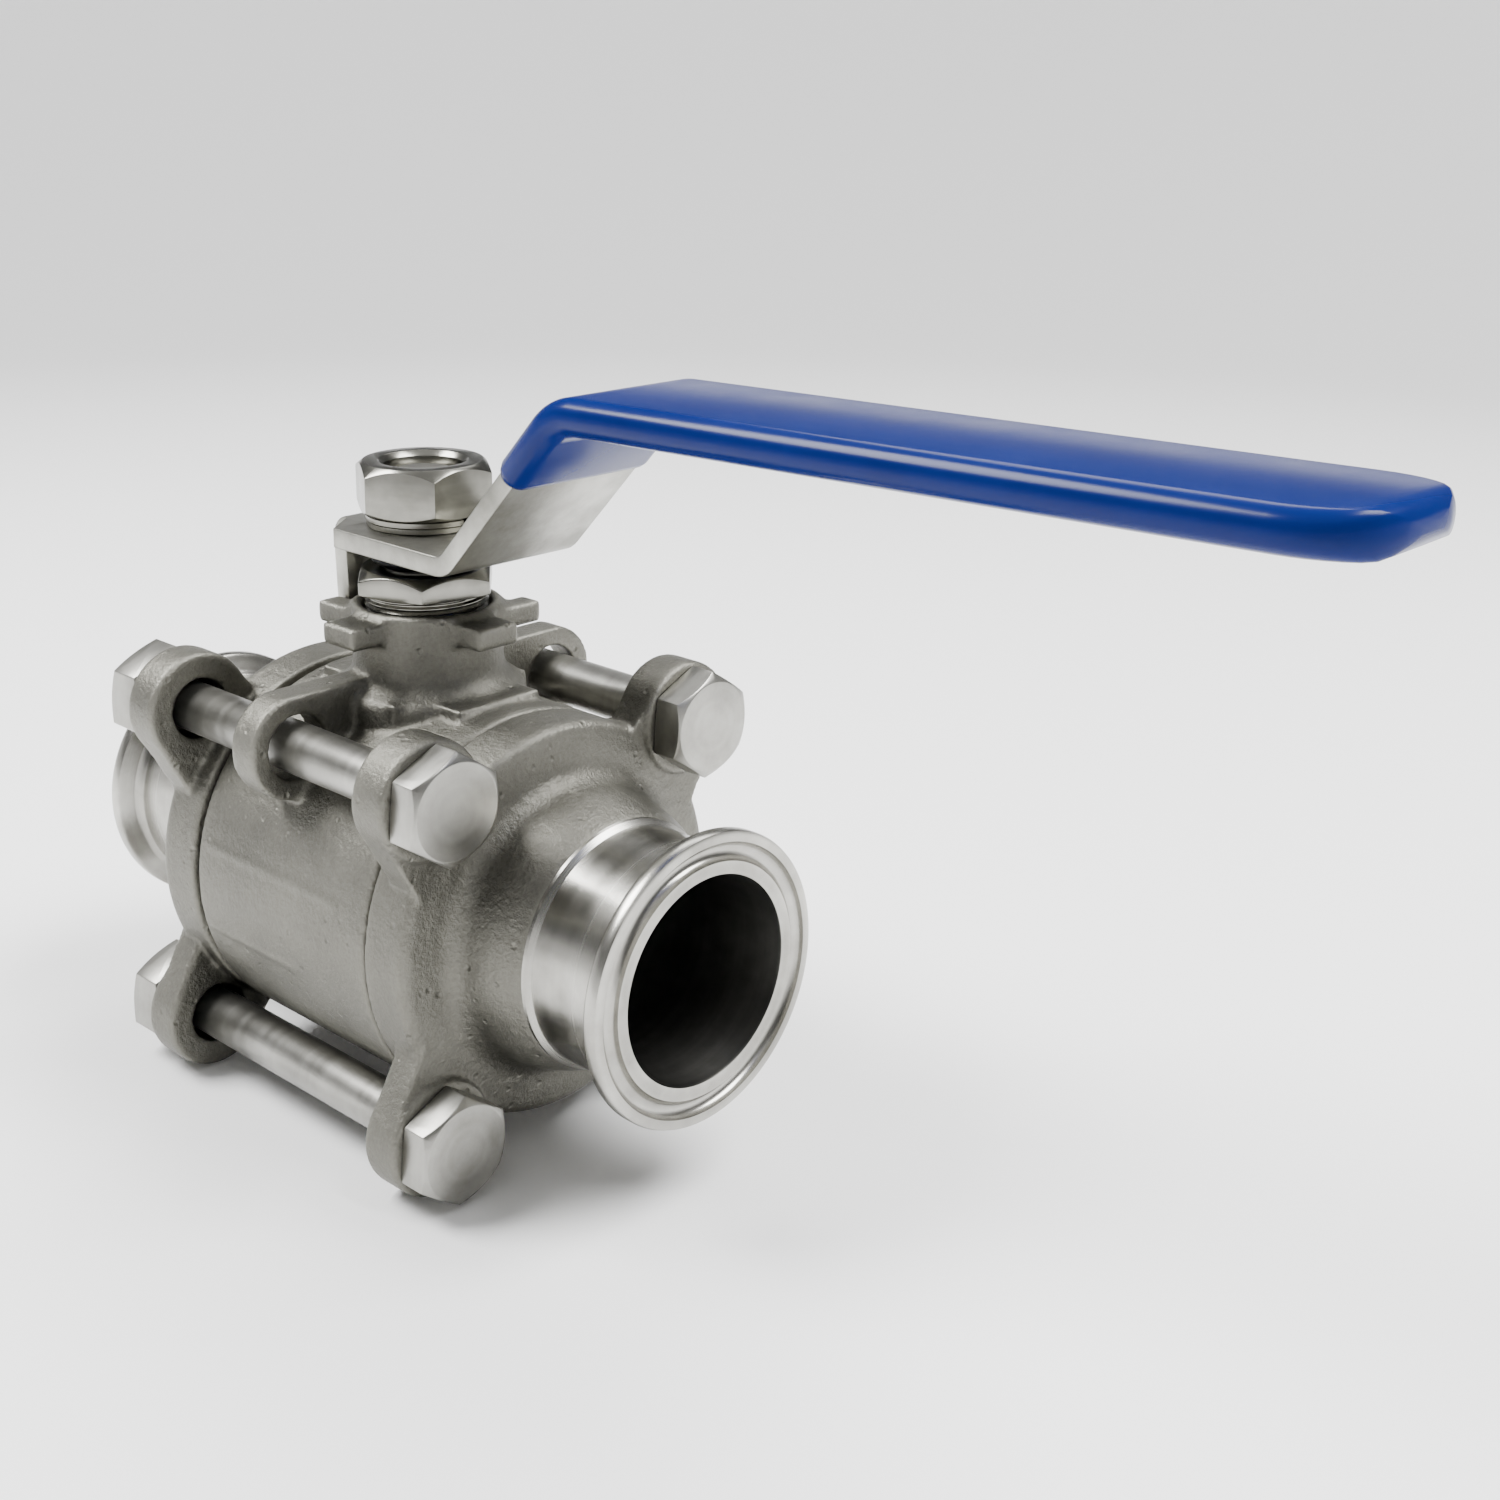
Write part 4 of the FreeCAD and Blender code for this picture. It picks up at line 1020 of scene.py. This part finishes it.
bend_out = (upper_corner[0] + upper_back * math.cos(upper_turn),
            upper_corner[1] + upper_back * math.sin(upper_turn))
deselect()
bpy.ops.mesh.primitive_circle_add(vertices=48, radius=sleeve_thick * mm,
                                  rotation=(0, math.pi / 2, 0))
grip = bpy.context.object
grip.name = "lever_sleeve"
bpy.ops.object.transform_apply(rotation=True)
for point in grip.data.vertices:
    if abs(point.co.y) > 0.01 * mm:
        point.co.y += math.copysign(sleeve_half - sleeve_thick, point.co.y) * mm
bpy.ops.object.mode_set(mode="EDIT")
bpy.ops.mesh.select_mode(type="VERT")
bpy.ops.mesh.select_all(action="SELECT")
bpy.ops.transform.rotate(value=upper_turn, orient_axis="Y", center_override=(0, 0, 0))
bpy.ops.transform.translate(value=(bend_out[0] * mm, 0, bend_out[1] * mm))
backs = [100, 80, 60, 40, 25] + [tip_long * (1 - n / 9) ** 1.6 for n in range(9)] + [0.25, 0.06]
backs = sorted(set(round(back, 3) for back in backs), reverse=True)
reached = bend_out[0]
wide, deep = 1.0, 1.0
for back in backs:
    along = sleeve_reach - back
    step = along - reached
    bpy.ops.mesh.extrude_region_move(
        TRANSFORM_OT_translate={"value": (step * mm, 0, step * math.tan(upper_turn) * mm)})
    spot = (along * mm, 0, (bend_out[1] + (along - bend_out[0]) * math.tan(upper_turn)) * mm)
    next_wide, next_deep = half_width(back), half_deep(back)
    bpy.ops.transform.resize(value=(1, next_wide / wide, next_deep / deep), center_override=spot)
    reached, wide, deep = along, next_wide, next_deep
bpy.ops.mesh.edge_face_add()
bpy.ops.object.mode_set(mode="OBJECT")
select_only(grip, lambda spot: abs(spot.x - bend_out[0] * mm) < 0.3 * mm)
bend_round(turn_centre, -(rise - upper_turn), 14)
slope_end = (turn_from[0] - sleeve_start) / math.cos(rise) - lip_long
pull(-slope_end * math.cos(rise), -slope_end * math.sin(rise))
# The open end: three short steps, each a little tighter, so that the lip hugs the plate.
lip_at = [turn_from[0] - slope_end * math.cos(rise), turn_from[1] - slope_end * math.sin(rise)]
thick_now = sleeve_thick
for slide, shrink in ((1.0, 0.25), (0.7, 0.4), (0.4, 0.55)):
    pull(-slide * math.cos(rise), -slide * math.sin(rise))
    lip_at = [lip_at[0] - slide * math.cos(rise), lip_at[1] - slide * math.sin(rise)]
    spot = (lip_at[0] * mm, 0, lip_at[1] * mm)
    bpy.ops.transform.rotate(value=-rise, orient_axis="Y", center_override=spot)
    bpy.ops.transform.resize(value=(1, (sleeve_half - shrink) / sleeve_half,
                                    (thick_now - shrink) / thick_now), center_override=spot)
    bpy.ops.transform.rotate(value=rise, orient_axis="Y", center_override=spot)
    thick_now -= shrink
bpy.ops.mesh.edge_face_add()
close_up()
bpy.ops.object.mode_set(mode="OBJECT")
smooth(grip, 60)

blue_vinyl, tree, shader = new_material("blue_vinyl", (0.008, 0.045, 0.26), 0, 0.28)
tone = use(tree, cloudy_tone, (-5, 0), Patches=45.0, Low=0.0, High=1.0)
skin = use(tree, blasted_grain, (-5, -2), Grains=120.0, Pits=0.0)
lay_on_piece(tree, tone, skin)
tree.links.new(blend_colours(tree, (-2, 1), tone.outputs["Tone"], (0.0011, 0.0085, 0.088),
                             (0.0013, 0.0105, 0.102)), shader.inputs["Base Color"])
tree.links.new(roughness_between(tree, (-2, -1), tone.outputs["Tone"], 0.20, 0.25),
               shader.inputs["Roughness"])
raise_grain(tree, shader, skin.outputs["Height"], 0.004)
shader.inputs["IOR"].default_value = 1.22
painted(grip, blue_vinyl)
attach(grip, "handle")
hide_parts("lever_grip")

# -----------------------------------------------------------------------------
# Stem, lock washer and stem nut: a turned stainless stem with a tongue below and a thread above.
# Its top stands in a bright nut, which presses the lever down over a split spring washer.
washer_low = plate_low + plate_thick
washer_high = 66.9
nut_high = 76.0
nut_across = 22.0
stem_top = 74.2
stem_thin = 6.1
collar = 9.5
washer_hole = 7.3
nut_hole = 7.0

stem_piece = turned("stem_detailed", [
    (28.2, collar - 0.6), (28.8, collar), (31.4, collar), (31.4, stem), (60.6, stem),
    (60.7, stem_thin), (stem_top - 1.2, stem_thin), (stem_top - 0.4, 5.6), (stem_top, 4.8)], 96)
combine(stem_piece, block("tongue", (-3.5, 3.5), (-6.5, 6.5), 21.7, 29), "UNION")
join(stem_piece, thread("stem_thread", stem - 0.1, 1.5, 65.0, 5, 64))
remember_place(stem_piece)
smooth(stem_piece)
painted(stem_piece, satin_steel)
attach(stem_piece, "handle")
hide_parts("stem")

washer = turned("lock_washer_detailed", [
    (washer_low, washer_hole), (washer_low, 9.9), (washer_low + 0.25, 10.15),
    (washer_low + 1.05, 10.15), (washer_low + 1.2, 9.95), (washer_low + 1.35, 10.4),
    (washer_high - 0.25, 10.4), (washer_high, 10.1), (washer_high, washer_hole),
    (washer_low, washer_hole)], 96)
split = plate("split", [(6, 0), (12, 0.4), (12, 1.6), (6, 1.2)], washer_low - 1, washer_high + 1)
combine(washer, split)
remember_place(washer)
smooth(washer)
painted(washer, bright_steel)
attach(washer, "handle")
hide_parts("lock_washer")

stem_nut = hex_blank("stem_nut_detailed", nut_across, washer_high, nut_high, 30, (1.5, 2.1))
combine(stem_nut, turned("bored", [
    (washer_high - 1, nut_hole), (nut_high - 0.9, nut_hole), (nut_high + 0.2, nut_hole + 1.1),
    (nut_high + 1, nut_hole + 1.1)], 64))
break_edges(stem_nut, 0.3, 3)
remember_place(stem_nut)
smooth(stem_nut)
painted(stem_nut, bright_steel)
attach(stem_nut, "handle")
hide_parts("stem_nut")
